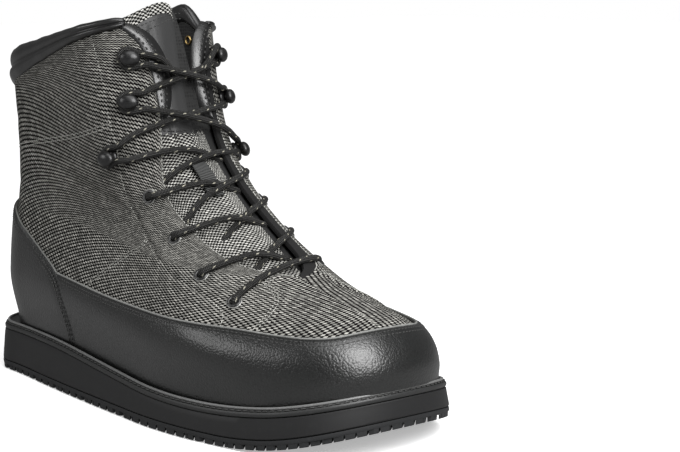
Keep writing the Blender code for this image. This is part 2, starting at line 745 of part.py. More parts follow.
def strand(name, start, finish, tucked, rise_start, margin=1.0):
    """A lace strand from beside one lace point to the far edge, over the tongue."""
    first, last = lace_spots[start][0], lace_spots[finish][0]
    reach = float(np.linalg.norm(last - first))
    clear = 0.0098 / reach
    if tucked:
        far_half = gap_near(last, finish[0]) - 0.0062
        share = np.linspace(0, 1, 101)
        line = on_form(first + (last - first) * share[:, None])
        across = (line[:, 1] - centre_line(line[:, 0])) * finish[0]
        stop = float(share[np.argmax(across > far_half)])
    else:
        stop = 1 - clear * margin
    share = np.linspace(clear, stop, 7)
    line = on_form(first + (last - first) * share[:, None])
    normal = outward(line)
    height = np.full(len(share), rise_start)
    if tucked:
        height = rise_start + (0.0008 - rise_start) * ease((share - 0.42) / (stop - 0.42))
    line = line + normal * height[:, None]
    rings = []
    for k, point in enumerate(line):
        along = line[min(k + 1, len(line) - 1)] - line[max(k - 1, 0)]
        along /= np.linalg.norm(along)
        over = normal[k] - along * float(np.dot(normal[k], along))
        over /= np.linalg.norm(over)
        beside = np.cross(along, over)
        ring = []
        for step in range(6):
            angle = 2 * math.pi * (step + 0.5) / 6
            ring.append(point + (over * math.cos(angle) + beside * math.sin(angle)) * LACE_RADIUS)
        rings.append(ring)
    return add_tube(name, rings, LACING)


lace_bar = strand("lace_bar", (-1, 0), (1, 0), False, LACE_LIFT[0])
for number in range(6):
    tucked = number > 0 and LACE_POINTS[number, 4] == 0
    margin = 2.4 if number == 0 else 1.0
    lift = LACE_LIFT[number]
    crossing = strand("lace_cross_%d" % (number + 1), (-1, number + 1), (1, number), tucked, lift, margin)
    other = strand("lace_strand_%d" % (number + 1), (1, number + 1), (-1, number), tucked, lift, margin)
    PARTS.objects.unlink(other)
    CUTTERS.objects.link(other)
    other.hide_render = True
    other.display_type = "WIRE"
    join = crossing.modifiers.new("crossing", "BOOLEAN")
    join.operation = "UNION"
    join.solver = "EXACT"
    join.object = other
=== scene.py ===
# %% [markdown]
# # A wading boot around its CAD frame
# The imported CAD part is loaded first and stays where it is. Everything below adds the looks: cloth, leather,
# rubber, thread, lace and metal, all in metres and in the frame of the part.
# %% Load the frame
import math
import bmesh
import bpy
import numpy as np
from mathutils import Matrix, Vector


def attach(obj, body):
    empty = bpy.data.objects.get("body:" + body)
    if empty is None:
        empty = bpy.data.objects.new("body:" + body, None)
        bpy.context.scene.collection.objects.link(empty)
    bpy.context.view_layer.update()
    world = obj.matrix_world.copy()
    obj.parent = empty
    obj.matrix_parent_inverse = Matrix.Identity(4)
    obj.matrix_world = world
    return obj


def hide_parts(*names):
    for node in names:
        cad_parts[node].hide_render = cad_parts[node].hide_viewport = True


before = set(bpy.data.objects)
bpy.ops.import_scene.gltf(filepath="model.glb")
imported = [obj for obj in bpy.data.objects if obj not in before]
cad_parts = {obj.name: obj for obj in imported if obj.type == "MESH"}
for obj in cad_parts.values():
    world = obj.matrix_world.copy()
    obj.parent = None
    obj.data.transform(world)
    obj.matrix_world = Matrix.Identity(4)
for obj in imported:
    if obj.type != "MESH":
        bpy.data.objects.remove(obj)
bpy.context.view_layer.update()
print("CAD nodes:", len(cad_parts))

# %% [markdown]
# ## The sizes of the last
# A boot is made over a last, so its upper follows one smooth form. The same few tables that shape the solids
# give that form here, because a fine mesh needs many more points than a solid does. The tables are shares
# of the length, the shaft's height or the ball's width.
# %% Sizes and tables
LENGTH = 0.333
BALL_WIDTH = 0.130
HEEL_HEIGHT = 0.0285
BALL_HEIGHT = 0.0195
TOE_SPRING = 0.0140
SHAFT_HEIGHT = 0.209
GAP = 0.0003
RISE = SHAFT_HEIGHT - HEEL_HEIGHT
OUTSOLE_THICK = 0.0050
WELT_THICK = 0.0040
FEATHER_INSET = 0.0085
HEEL_ROUND = 0.095
TOE_ROUND = 0.145
ROUND_POWER = 2.2
WALL = 0.0024
OVERLAY_GAP = 0.0006
RAND_THICK = 0.0016
COUNTER_THICK = 0.0021
TONGUE_THICK = 0.0045
TONGUE_DEPTH = WALL + 0.0018
BLEND_LOW = 0.12
BLEND_HIGH = 0.50
BULGE = 0.0055
COLLAR_THICK = 0.0062
THROAT_ROW = 9
TOP_ROW = 20
# Place along the foot, outer and inner half width
SOLE_PLAN = np.array([
    (0.00, 0.326, 0.330), (0.12, 0.338, 0.345), (0.25, 0.382, 0.335), (0.38, 0.422, 0.332),
    (0.50, 0.452, 0.358), (0.62, 0.478, 0.432), (0.70, 0.476, 0.488), (0.78, 0.456, 0.505),
    (0.88, 0.422, 0.498), (1.00, 0.395, 0.467)])
# Front of the side view: place, rise, rounding radius
FRONT_LINE = np.array([
    (0.986, 0.000, 0.40), (0.985, 0.070, 0.40), (0.962, 0.150, 0.39), (0.917, 0.220, 0.37),
    (0.845, 0.280, 0.34), (0.767, 0.338, 0.31), (0.702, 0.412, 0.30), (0.635, 0.499, 0.31),
    (0.567, 0.592, 0.33), (0.507, 0.702, 0.34), (0.472, 0.852, 0.35), (0.452, 1.010, 0.35),
    (0.434, 1.160, 0.35)])
# Back of the side view: place, rise, rounding radius
BACK_LINE = np.array([
    (0.039, 0.000, 0.28), (0.033, 0.080, 0.28), (0.036, 0.200, 0.27), (0.044, 0.340, 0.26),
    (0.058, 0.500, 0.26), (0.065, 0.640, 0.27), (0.065, 0.800, 0.28), (0.055, 0.960, 0.29),
    (0.042, 1.160, 0.29)])
# Rise, outer and inner half width of the shaft
SHAFT_PLAN = np.array([
    (0.00, 0.300, 0.310), (0.30, 0.295, 0.315), (0.50, 0.300, 0.305), (0.75, 0.330, 0.330),
    (1.00, 0.350, 0.350), (1.20, 0.360, 0.360)])
# Row, rise at the back, share along the front line, outer and inner half gap of the throat
ROWS = np.array([
    (0, 0.000, 0.000, 0.000, 0.000), (1, 0.045, 0.030, 0.000, 0.000), (2, 0.095, 0.062, 0.000, 0.000),
    (3, 0.145, 0.095, 0.000, 0.000), (4, 0.195, 0.130, 0.000, 0.000), (5, 0.245, 0.170, 0.000, 0.000),
    (6, 0.290, 0.215, 0.000, 0.000), (7, 0.335, 0.260, 0.000, 0.000), (8, 0.375, 0.305, 0.000, 0.000),
    (9, 0.410, 0.345, 0.000, 0.000), (10, 0.430, 0.368, 0.140, 0.060), (11, 0.455, 0.400, 0.205, 0.095),
    (12, 0.485, 0.440, 0.225, 0.100), (13, 0.520, 0.490, 0.230, 0.095), (14, 0.555, 0.540, 0.230, 0.090),
    (15, 0.590, 0.595, 0.220, 0.090), (16, 0.625, 0.650, 0.195, 0.100), (17, 0.660, 0.705, 0.165, 0.115),
    (18, 0.695, 0.760, 0.145, 0.130), (19, 0.735, 0.840, 0.145, 0.145), (20, 0.775, 0.925, 0.165, 0.165),
    (21, 0.820, 0.970, 0.165, 0.165), (22, 0.860, 1.000, 0.165, 0.165)])
# Outer place and rise, inner place and rise, 1 for a hook
LACE_POINTS = np.array([
    (0.744, 0.283, 0.715, 0.357, 0), (0.667, 0.345, 0.644, 0.432, 0), (0.586, 0.430, 0.582, 0.515, 0),
    (0.512, 0.530, 0.532, 0.588, 0), (0.423, 0.625, 0.478, 0.634, 1), (0.442, 0.797, 0.442, 0.797, 1),
    (0.432, 0.930, 0.432, 0.930, 1)])
# Place and rise of each drain on the inner side
DRAIN_POINTS = np.array([
    (0.367, 0.075), (0.405, 0.075), (0.444, 0.075), (0.482, 0.075),
    (0.367, 0.135), (0.405, 0.135), (0.444, 0.135), (0.482, 0.135)])
# Place, rise of the rand's top edge
RAND_TOP = np.array([
    (0.200, 0.225), (0.448, 0.216), (0.601, 0.222), (0.706, 0.221), (0.783, 0.213),
    (0.853, 0.193), (0.900, 0.178), (0.930, 0.172), (0.950, 0.176), (1.012, 0.178)])
# Rise, place of the heel counter's front edge
COUNTER_EDGE = np.array([
    (-0.10, 0.336), (0.00, 0.334), (0.08, 0.329), (0.15, 0.317), (0.22, 0.286),
    (0.28, 0.214), (0.34, 0.147), (0.40, 0.090), (0.44, 0.028), (0.46, -0.029)])
# Section of the collar: out and up, as shares of its thickness and height
COLLAR_SECTION = np.array([
    (-0.30, 0.00), (0.10, 0.00), (0.42, 0.18), (0.44, 0.34), (0.22, 0.50), (0.34, 0.66),
    (0.32, 0.84), (0.05, 1.00), (-0.32, 0.98), (-0.52, 0.76), (-0.54, 0.30)])
# Place, height of the collar
COLLAR_RISE = np.array([
    (0.000, 0.095), (0.162, 0.094), (0.257, 0.066), (0.343, 0.047), (0.448, 0.032)])
# Row, outer and inner half width of the tongue
TONGUE_PLAN = np.array([
    (7.4, 0.130, 0.130), (9.0, 0.200, 0.150), (11.0, 0.272, 0.165), (15.0, 0.285, 0.160),
    (17.0, 0.240, 0.185), (21.2, 0.215, 0.215)])


def table_value(rows, key, column):
    """Smooth value of one table column at each key."""
    keys = rows[:, 0]
    values = rows[:, column]
    slopes = np.gradient(values, keys)
    key = np.clip(key, keys[0], keys[-1])
    place = np.clip(np.searchsorted(keys, key) - 1, 0, len(keys) - 2)
    span = keys[place + 1] - keys[place]
    t = (key - keys[place]) / span
    return ((2 * t**3 - 3 * t**2 + 1) * values[place] + (t**3 - 2 * t**2 + t) * span * slopes[place]
            + (3 * t**2 - 2 * t**3) * values[place + 1] + (t**3 - t**2) * span * slopes[place + 1])


def ease(value):
    """Smooth step from 0 to 1."""
    value = np.clip(value, 0.0, 1.0)
    return value * value * (3 - 2 * value)


def unit(vectors):
    """Vectors brought to length 1."""
    return vectors / np.linalg.norm(vectors, axis=-1)[..., None]


def run_lengths(path):
    """Distance run along a path at each of its points."""
    return np.concatenate([[0.0], np.cumsum(np.linalg.norm(np.diff(path, axis=0), axis=1))])


def columns_at(at, run, table):
    """Each column of a table, read at places along its run."""
    return np.column_stack([np.interp(at, run, table[:, axis]) for axis in range(table.shape[1])])


def sole_floor(x):
    """Height of the tread: flat, then rising to the toe."""
    share = np.clip((x / LENGTH - 0.76) / 0.24, 0.0, 1.5)
    return TOE_SPRING * share**2


def sole_top(x):
    """Height of the top of the sole."""
    drop = ease((x / LENGTH - 0.22) / 0.48)
    share = np.clip((x / LENGTH - 0.72) / 0.28, 0.0, 1.5)
    return HEEL_HEIGHT + (BALL_HEIGHT - HEEL_HEIGHT) * drop + TOE_SPRING * share**2


def centre_line(x):
    """Sideways place of the middle of the foot, which turns in toward the toe."""
    return 0.030 * BALL_WIDTH * ease((x / LENGTH - 0.55) / 0.45)


def outline(inset, count):
    """Stations along the sole: place, outside edge and inside edge, moved in by an inset."""
    share = 0.00001 + 0.99998 * (1 - np.cos(np.linspace(0, math.pi, count))) / 2
    place = inset + share * (LENGTH - 2 * inset)
    toe = np.clip(1 - (1 - share) / TOE_ROUND, 0.0, 1.0)
    heel = np.clip(1 - share / HEEL_ROUND, 0.0, 1.0)
    rest = (1 - toe**ROUND_POWER - heel**ROUND_POWER) ** (1 / ROUND_POWER)
    outer = (table_value(SOLE_PLAN, share, 1) * BALL_WIDTH - inset) * rest
    inner = (table_value(SOLE_PLAN, share, 2) * BALL_WIDTH - inset) * rest
    return place, centre_line(place) - outer, centre_line(place) + inner


edges = outline(0.0, 60)
SHIFT = np.array([-LENGTH / 2, -float(edges[1].min() + edges[2].max()) / 2, 0.0])
print("Shift from the heel's frame to the part's frame:", SHIFT.round(5))

# %% [markdown]
# ## The form of the last
# The upper is an inflated side view: a front line and a back line, each with a rounding radius, and half
# widths between them. A point's depth behind those lines tells how much of the full width is left there.
# %% The form as functions
def curve_points(rows, count):
    """Even points along a profile given as a table, with the rounding radius of each."""
    keys = np.arange(len(rows), dtype=float)
    table = np.column_stack([keys, rows])
    dense = np.linspace(0, len(rows) - 1, 40 * len(rows))
    x = table_value(table, dense, 1) * LENGTH
    rise = table_value(table, dense, 2) * RISE
    radius = table_value(table, dense, 3) * BALL_WIDTH
    run = np.concatenate([[0.0], np.cumsum(np.hypot(np.diff(x), np.diff(rise)))])
    return columns_at(np.linspace(0, run[-1], count), run, np.column_stack([x, rise, radius]))


FRONT = curve_points(FRONT_LINE, 260)
BACK = curve_points(BACK_LINE, 200)


def line_depth(line, x, rise, side):
    """Depth behind a profile line as a share of its rounding radius, from 1 at the line."""
    tangent = unit(np.gradient(line[:, :2], axis=0))
    flat_x, flat_rise = np.ravel(x), np.ravel(rise)
    away_x = flat_x[:, None] - line[None, :, 0]
    away_rise = flat_rise[:, None] - line[None, :, 1]
    near = np.argmin(away_x**2 + away_rise**2, axis=1)
    pick = np.arange(len(near))
    cross = tangent[near, 0] * away_rise[pick, near] - tangent[near, 1] * away_x[pick, near]
    return np.clip(1 - side * cross / line[near, 2], 0.0, 3.0).reshape(np.shape(x))


def full_width(x, rise, side):
    """Half width of the upper before its front and back are rounded."""
    column = 1 if side < 0 else 2
    low = table_value(SOLE_PLAN, x / LENGTH, column) * BALL_WIDTH - FEATHER_INSET
    low = low + BULGE * ease(rise / 0.034)
    high = table_value(SHAFT_PLAN, rise / RISE, column) * BALL_WIDTH
    mix = ease((rise / RISE - BLEND_LOW) / (BLEND_HIGH - BLEND_LOW))
    return low * (1 - mix) + high * mix


def half_width(x, rise, side):
    """Half width of the upper at a place along the foot and a rise above the sole."""
    rest = (1 - line_depth(FRONT, x, rise, 1.0)**ROUND_POWER
            - line_depth(BACK, x, rise, -1.0)**ROUND_POWER)
    return full_width(x, rise, side) * np.sign(rest) * np.abs(rest) ** (1 / ROUND_POWER)


def form(spots):
    """Zero on the outer surface of the upper, below zero inside it."""
    x, y, z = spots[..., 0], spots[..., 1], spots[..., 2]
    rise = z - sole_top(x)
    across = y - centre_line(x)
    wide = np.where(across < 0, full_width(x, rise, -1), full_width(x, rise, 1))
    front = line_depth(FRONT, x, rise, 1.0)
    back = line_depth(BACK, x, rise, -1.0)
    return np.abs(across / wide)**ROUND_POWER + front**ROUND_POWER + back**ROUND_POWER - 1


def slope(spots):
    """Slope of the form at points."""
    step = 0.0004
    return np.stack([(form(spots + step * axis) - form(spots - step * axis)) / (2 * step)
                     for axis in np.eye(3)], axis=-1)


def outward(spots):
    """Unit normals of the form at points on it."""
    normal = slope(spots)
    return normal / np.maximum(np.linalg.norm(normal, axis=-1), 1e-12)[..., None]


def on_form(spots):
    """Points moved along the slope of the form until they lie on it."""
    spots = np.array(spots, dtype=float)
    for step in range(12):
        value = form(spots)
        away = slope(spots)
        length = np.maximum(np.linalg.norm(away, axis=-1), 1e-6)
        spots = spots - away / length[:, None] * np.clip(value / length, -0.006, 0.006)[:, None]
    return spots


def row_rise(number, x):
    """Rise of one row of the upper above the sole, straight from back to front in side view."""
    key = np.array([float(number)])
    back_rise = table_value(ROWS, key, 1)[0] * RISE
    front = table_value(ROWS, key, 2)[0] * (len(FRONT) - 1)
    back_x = np.interp(back_rise, BACK[:, 1], BACK[:, 0])
    front_x = np.interp(front, np.arange(len(FRONT)), FRONT[:, 0])
    front_rise = np.interp(front, np.arange(len(FRONT)), FRONT[:, 1])
    return back_rise + (front_rise - back_rise) * (x - back_x) / (front_x - back_x)


def row_end(rise_at, side, low, high, gap):
    """Place along the foot where a row narrows to the given half gap."""
    for step in range(6):
        places = np.linspace(low, high, 16)
        inside = half_width(places, rise_at(places), side) > gap
        last = len(places) - 2 if inside.all() else max(int(np.argmin(inside)) - 1, 0)
        low, high = places[last], places[last + 1]
    return 0.5 * (low + high)


def throat_gap(number, side):
    """Half gap of the throat on one side at a row number."""
    if number <= THROAT_ROW:
        return 0.0
    half = float(table_value(ROWS, np.array([float(number)]), 3 if side < 0 else 4)[0])
    return max(half, 0.0) * BALL_WIDTH


def form_points(x, rise, side):
    """Points on the upper at places along the foot and rises above the sole."""
    wide = np.maximum(half_width(x, rise, side), 0.0)
    return np.column_stack([x, centre_line(x) + side * wide, rise + sole_top(x) + GAP])


def row_points(number, count):
    """One row of the upper from the front outside round the heel to the front inside."""
    spread = (1 - np.cos(np.linspace(0, math.pi, count))) / 2
    halves = []
    for side in (-1, 1):
        gap = throat_gap(number, side)
        last = row_end(lambda x: row_rise(number, x), side, 0.30 * LENGTH, 1.05 * LENGTH, gap)
        first = row_end(lambda x: row_rise(number, x), side, 0.30 * LENGTH, -0.02 * LENGTH, 0.0)
        x = first + (last - first) * spread
        rise = row_rise(number, x)
        wide = np.maximum(half_width(x, rise, side), 0.0)
        wide[0] = 0.0
        wide[-1] = gap
        halves.append(np.column_stack([x, centre_line(x) + side * wide, rise + sole_top(x) + GAP]))
    return np.concatenate([halves[0][::-1], halves[1][1:]])


# %% [markdown]
# ## A skin to lay pieces on
# Leather and cloth panels all lie on the same skin. It is worked out once as a fine table of points and
# normals by row number (0 at the sole, 20 at the collar) and by turn (-1 at the front outside, 0 at the
# heel, 1 at the front inside). A panel is then a patch of rows and turns, lifted by its own thickness.
# %% The skin table
SKIN_ROWS = np.concatenate([np.linspace(0, 9, 46), np.linspace(9.1, 20, 90)])
SKIN_HALF = 111
skin_points = np.array([row_points(number, SKIN_HALF) for number in SKIN_ROWS])
skin_normals = np.array([outward(row) for row in skin_points])
print("Skin points:", skin_points.shape)


def read_grid(points, normals, row, column):
    """Points and unit normals between the rows and columns of their tables."""
    r = np.clip(np.floor(row).astype(int), 0, points.shape[0] - 2)
    c = np.clip(np.floor(column).astype(int), 0, points.shape[1] - 2)
    fr, fc = (row - r)[..., None], (column - c)[..., None]
    spots, over = [
        table[r, c] * (1 - fr) * (1 - fc) + table[r + 1, c] * fr * (1 - fc)
        + table[r, c + 1] * (1 - fr) * fc + table[r + 1, c + 1] * fr * fc for table in (points, normals)]
    return spots, unit(over)


def skin(number, turn, lift=0.0):
    """Points on the skin at row numbers and turns, lifted along the normal."""
    number, turn = np.broadcast_arrays(np.asarray(number, float), np.asarray(turn, float))
    row = np.interp(number, SKIN_ROWS, np.arange(len(SKIN_ROWS)))
    spots, normal = read_grid(skin_points, skin_normals, row, (turn + 1) * (SKIN_HALF - 1))
    return spots + normal * np.asarray(lift)[..., None], normal


# %% [markdown]
# ## Camera, floor and light
# The photo is a studio shot on white from about a metre away with a long lens. A wide pale floor, a white
# surround and three large soft lamps give the same even grey on the cloth and one broad gleam on the toe.
# %% Camera
AZIMUTH = math.radians(48.53)
ELEVATION = math.radians(8.0)
FOCAL_PIXELS = 1765.5
PICTURE_WIDTH = 680
PICTURE_SHIFT = (148.2, 14.8)
SENSOR_WIDTH = 36.0
AIM = (0.162, 0.0, 0.09)
back_axis = Vector((math.sin(AZIMUTH) * math.cos(ELEVATION), -math.cos(AZIMUTH) * math.cos(ELEVATION),
                    math.sin(ELEVATION)))
right_axis = Vector((math.cos(AZIMUTH), math.sin(AZIMUTH), 0.0))
up_axis = back_axis.cross(right_axis)
eye = (Vector(AIM) + Vector(SHIFT) + back_axis + right_axis * (PICTURE_SHIFT[0] / FOCAL_PIXELS)
       + up_axis * (PICTURE_SHIFT[1] / FOCAL_PIXELS))
camera_data = bpy.data.cameras.new("camera")
camera = bpy.data.objects.new("camera", camera_data)
bpy.context.scene.collection.objects.link(camera)
camera.matrix_world = Matrix((
    (right_axis.x, up_axis.x, back_axis.x, eye.x), (right_axis.y, up_axis.y, back_axis.y, eye.y),
    (right_axis.z, up_axis.z, back_axis.z, eye.z), (0, 0, 0, 1)))
camera_data.sensor_fit = "HORIZONTAL"
camera_data.sensor_width = SENSOR_WIDTH
camera_data.lens = FOCAL_PIXELS * SENSOR_WIDTH / PICTURE_WIDTH
camera_data.clip_start = 0.01
bpy.context.scene.camera = camera
print("Camera at", [round(value, 4) for value in eye])

# %% [markdown]
# ## Surround and lamps
# The surround looks white to the camera and sheds a weaker light on the boot. A broad sun stands for the
# studio's ceiling, one large disk lights the toe, and a small square fills the outer side.
# %% Surround and lamps
world = bpy.data.worlds.new("studio")
bpy.context.scene.world = world
world.use_nodes = True
sky = world.node_tree
sky.nodes["Background"].inputs["Color"].default_value = (1.0, 1.0, 1.0, 1.0)
seen = sky.nodes.new("ShaderNodeMapRange")
sky.links.new(sky.nodes.new("ShaderNodeLightPath").outputs["Is Camera Ray"], seen.inputs["Value"])
seen.inputs["To Min"].default_value = 0.17
seen.inputs["To Max"].default_value = 1.0
sky.links.new(seen.outputs["Result"], sky.nodes["Background"].inputs["Strength"])
bpy.context.scene.view_settings.view_transform = "Standard"


def lamp_at(name, kind, place, target, power, **settings):
    """A lamp that looks at a target."""
    data = bpy.data.lights.new(name, kind)
    data.energy = power
    for key, value in settings.items():
        setattr(data, key, value)
    lamp = bpy.data.objects.new(name, data)
    bpy.context.scene.collection.objects.link(lamp)
    lamp.location = place
    lamp.rotation_euler = (Vector(target) - Vector(place)).to_track_quat("-Z", "Y").to_euler()


lamp_at("overhead", "SUN", (0.30, -0.05, 1.0), (0.0, 0.0, 0.0), 1.9, angle=math.radians(55))
lamp_at("toe_lamp", "AREA", (0.86, -0.12, 0.66), (0.15, -0.02, 0.05), 15.0, shape="DISK", size=0.76)
lamp_at("side_lamp", "AREA", (-0.45, -1.00, 0.60), (-0.02, 0.0, 0.10), 3.6, shape="SQUARE", size=0.50)

# %% [markdown]
# ## Helpers for pieces
# A panel starts as a grid primitive, so it has a UV map, and its points are then moved onto the skin.
# Solidify gives it its wall and Bevel softens its cut edge. What repeats is modelled once and copied to many
# places as one joined mesh.
# %% Helpers
def only(piece):
    """Select one object and make it active."""
    bpy.ops.object.select_all(action="DESELECT")
    piece.select_set(True)
    bpy.context.view_layer.objects.active = piece


def lengths(spots):
    """Distances along the columns and rows of a grid of points, for a UV map in metres."""
    across = np.zeros(spots.shape[:2])
    along = np.zeros(spots.shape[:2])
    across[:, 1:] = np.cumsum(np.linalg.norm(np.diff(spots, axis=1), axis=-1), axis=1)
    along[1:] = np.cumsum(np.linalg.norm(np.diff(spots, axis=0), axis=-1), axis=0)
    middle = spots.shape[1] // 2
    return np.stack([across - across[:, middle:middle + 1], along], axis=-1)


def set_uv(piece, uv):
    """Write a UV value for each point of a grid."""
    layer = piece.data.uv_layers.active or piece.data.uv_layers.new(name="UVMap")
    index = np.zeros(len(piece.data.loops), dtype=np.int64)
    piece.data.loops.foreach_get("vertex_index", index)
    layer.data.foreach_set("uv", uv.reshape(-1, 2)[index].ravel())


def patch(name, spots, normals=None, uv=None):
    """A grid primitive whose points are moved to places on the boot."""
    rows, columns = spots.shape[:2]
    bpy.ops.object.select_all(action="DESELECT")
    bpy.ops.mesh.primitive_grid_add(x_subdivisions=columns - 1, y_subdivisions=rows - 1, size=1.0)
    piece = bpy.context.object
    piece.name = name
    piece.data.name = name
    piece.data.vertices.foreach_set("co", (spots.reshape(-1, 3) + SHIFT).ravel())
    set_uv(piece, lengths(spots) if uv is None else uv)
    piece.data.update()
    if normals is not None:
        facing = np.zeros(3 * len(piece.data.vertices))
        piece.data.vertices.foreach_get("normal", facing)
        if float((facing.reshape(-1, 3) * normals.reshape(-1, 3)).sum()) < 0:
            piece.data.flip_normals()
    return piece


def merge(piece, distance=0.00004):
    """Join points that lie on each other."""
    only(piece)
    bpy.ops.object.mode_set(mode="EDIT")
    bpy.ops.mesh.select_all(action="SELECT")
    bpy.ops.mesh.remove_doubles(threshold=distance)
    bpy.ops.object.mode_set(mode="OBJECT")


def face_out(piece):
    """Turn the faces of a closed piece outward."""
    only(piece)
    bpy.ops.object.mode_set(mode="EDIT")
    bpy.ops.mesh.select_all(action="SELECT")
    bpy.ops.mesh.normals_make_consistent(inside=False)
    bpy.ops.object.mode_set(mode="OBJECT")


def ring_faces(count, around, closed=False):
    """Quads between rings of points, each ring joined to the next."""
    return [(k * around + a, k * around + (a + 1) % around, (k + 1) % count * around + (a + 1) % around,
             (k + 1) % count * around + a) for k in range(count if closed else count - 1)
            for a in range(around)]


def ring_ends(count, around):
    """The two flat ends of a row of rings."""
    return [tuple(range(around))[::-1], tuple((count - 1) * around + a for a in range(around))]


def dress(piece, *coats):
    """Give a piece its materials, in the order that its faces and its wall count them."""
    for coat in coats:
        piece.data.materials.append(coat)


def modify(piece, kind, **settings):
    """Add one modifier and apply it."""
    only(piece)
    made = piece.modifiers.new(kind.lower(), kind)
    for key, value in settings.items():
        setattr(made, key, value)
    bpy.ops.object.modifier_apply(modifier=made.name)


def wall(piece, thickness, rounding=0.0, inner=0, rim=0):
    """Give a panel its wall on the inside, with soft edges."""
    modify(piece, "SOLIDIFY", thickness=thickness, offset=-1.0, use_rim=True, material_offset=inner,
           material_offset_rim=rim)
    if rounding:
        modify(piece, "BEVEL", width=rounding, segments=2, limit_method="ANGLE",
               angle_limit=math.radians(50))


def finish(piece, coats, nodes=(), smooth=True):
    """Give a piece its materials, its place on the part and its shading."""
    for coat in coats if isinstance(coats, (list, tuple)) else [coats]:
        if coat.name not in [item.name for item in piece.data.materials if item]:
            piece.data.materials.append(coat)
    piece.data.polygons.foreach_set("use_smooth", [smooth] * len(piece.data.polygons))
    piece.data.update()
    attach(piece, "root")
    if nodes:
        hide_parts(*nodes)
    print("%s: %d points, %d faces" % (piece.name, len(piece.data.vertices), len(piece.data.polygons)))
    return piece


def solid(name, points, faces, uv=None):
    """A mesh from points and faces in the heel's frame."""
    mesh = bpy.data.meshes.new(name)
    mesh.from_pydata((np.asarray(points) + SHIFT).tolist(), [], faces)
    piece = bpy.data.objects.new(name, mesh)
    bpy.context.scene.collection.objects.link(piece)
    if uv is not None:
        set_uv(piece, np.asarray(uv))
    return piece


def take_shape(piece):
    """The points and faces of a small modelled piece, which is then removed."""
    points = np.array([tuple(point.co) for point in piece.data.vertices])
    faces = [tuple(face.vertices) for face in piece.data.polygons]
    bpy.data.objects.remove(piece, do_unlink=True)
    return points, faces


def copies(name, shape, spots, along, over):
    """One joined mesh with a copy of a small shape at each spot, turned along a path."""
    points, faces = shape
    along = unit(along)
    over = unit(over - along * (over * along).sum(1)[:, None])
    placed = spots[:, None, :]
    for axis, direction in enumerate((along, np.cross(over, along), over)):
        placed = placed + points[None, :, axis:axis + 1] * direction[:, None, :]
    step = len(points)
    all_faces = [tuple(corner + step * k for corner in face) for k in range(len(spots))
                 for face in faces]
    return solid(name, placed.reshape(-1, 3), all_faces)


LOOK = 0.0005


def even_path(spots, pitch, normals):
    """Points at an even pitch along a path, with the path's direction and normals at each."""
    run = run_lengths(spots)
    count = max(int(run[-1] / pitch), 2)
    at = (np.arange(count) + 0.5) * run[-1] / count
    ahead = columns_at(at + LOOK, run, spots) - columns_at(at - LOOK, run, spots)
    return columns_at(at, run, spots), ahead, columns_at(at, run, normals)


bpy.ops.object.select_all(action="DESELECT")
bpy.ops.mesh.primitive_uv_sphere_add(segments=6, ring_count=5, radius=0.5)
stitch = bpy.context.object
bpy.ops.object.mode_set(mode="EDIT")
bpy.ops.mesh.select_all(action="SELECT")
bpy.ops.transform.rotate(value=math.pi / 2, orient_axis="Y", center_override=(0, 0, 0))
bpy.ops.object.mode_set(mode="OBJECT")
STITCH = take_shape(stitch)


def stitches(name, spots, normals, coat, pitch=0.0026, share=0.78, thick=0.00065, lift=0.0001, slant=0.0):
    """A row of thread stitches along a path on the boot."""
    even, ahead, over = even_path(spots, pitch, normals)
    over = unit(over)
    ahead = unit(ahead)
    if slant:
        ahead = ahead + np.cross(over, ahead) * slant
    shape = (STITCH[0] * np.array([pitch * share, thick, thick]), STITCH[1])
    piece = copies(name, shape, even + over * lift, ahead, over)
    return finish(piece, coat)


def thin_bead(name, spots, normals, radius, coat, closed=False, sides=8):
    """A thin round bead along a path on the boot."""
    if closed:
        ahead = np.roll(spots, -1, axis=0) - np.roll(spots, 1, axis=0)
    else:
        ahead = np.gradient(spots, axis=0)
    beside = unit(np.cross(ahead, normals))
    turned = np.linspace(0, 2 * math.pi, sides, endpoint=False)
    rings = spots[:, None] + radius * (beside[:, None] * np.cos(turned)[None, :, None]
                                       + normals[:, None] * np.sin(turned)[None, :, None])
    faces = ring_faces(len(spots), sides, closed)
    if not closed:
        faces += ring_ends(len(spots), sides)
    piece = solid(name, rings.reshape(-1, 3), faces)
    face_out(piece)
    return finish(piece, coat)


def smooth_path(points, count):
    """A smooth path through points, with even steps."""
    points = np.asarray(points, float)
    run = run_lengths(points)
    dense = np.linspace(0, run[-1], count * 4)
    table = np.column_stack([run, points])
    curve = np.column_stack([table_value(table, dense, axis + 1) for axis in range(points.shape[1])])
    run = run_lengths(curve)
    return columns_at(np.linspace(0, run[-1], count), run, curve)


# %% [markdown]
# ## Finishes
# Effects that several finishes share are shader groups: the woven ticks of the cloth, the pebbled grain of
# leather and the soft mottling of handled rubber. Each group gives values only. The shader itself stays in
# the material.
# %% Shader groups
def new_group(name, inputs, outputs):
    """A shader group with named float or vector sockets."""
    tree = bpy.data.node_groups.new(name, "ShaderNodeTree")
    for label, kind, value in inputs:
        socket = tree.interface.new_socket(label, in_out="INPUT", socket_type=kind)
        if value is not None:
            socket.default_value = value
    for label in outputs:
        tree.interface.new_socket(label, in_out="OUTPUT", socket_type="NodeSocketFloat")
    return tree, tree.nodes.new("NodeGroupInput"), tree.nodes.new("NodeGroupOutput")


def math_node(tree, operation, first, second=None, third=None):
    """A math node fed by sockets or numbers."""
    made = tree.nodes.new("ShaderNodeMath")
    made.operation = operation
    for slot, value in enumerate((first, second, third)):
        if value is None:
            continue
        if isinstance(value, (int, float)):
            made.inputs[slot].default_value = value
        else:
            tree.links.new(value, made.inputs[slot])
    return made.outputs[0]


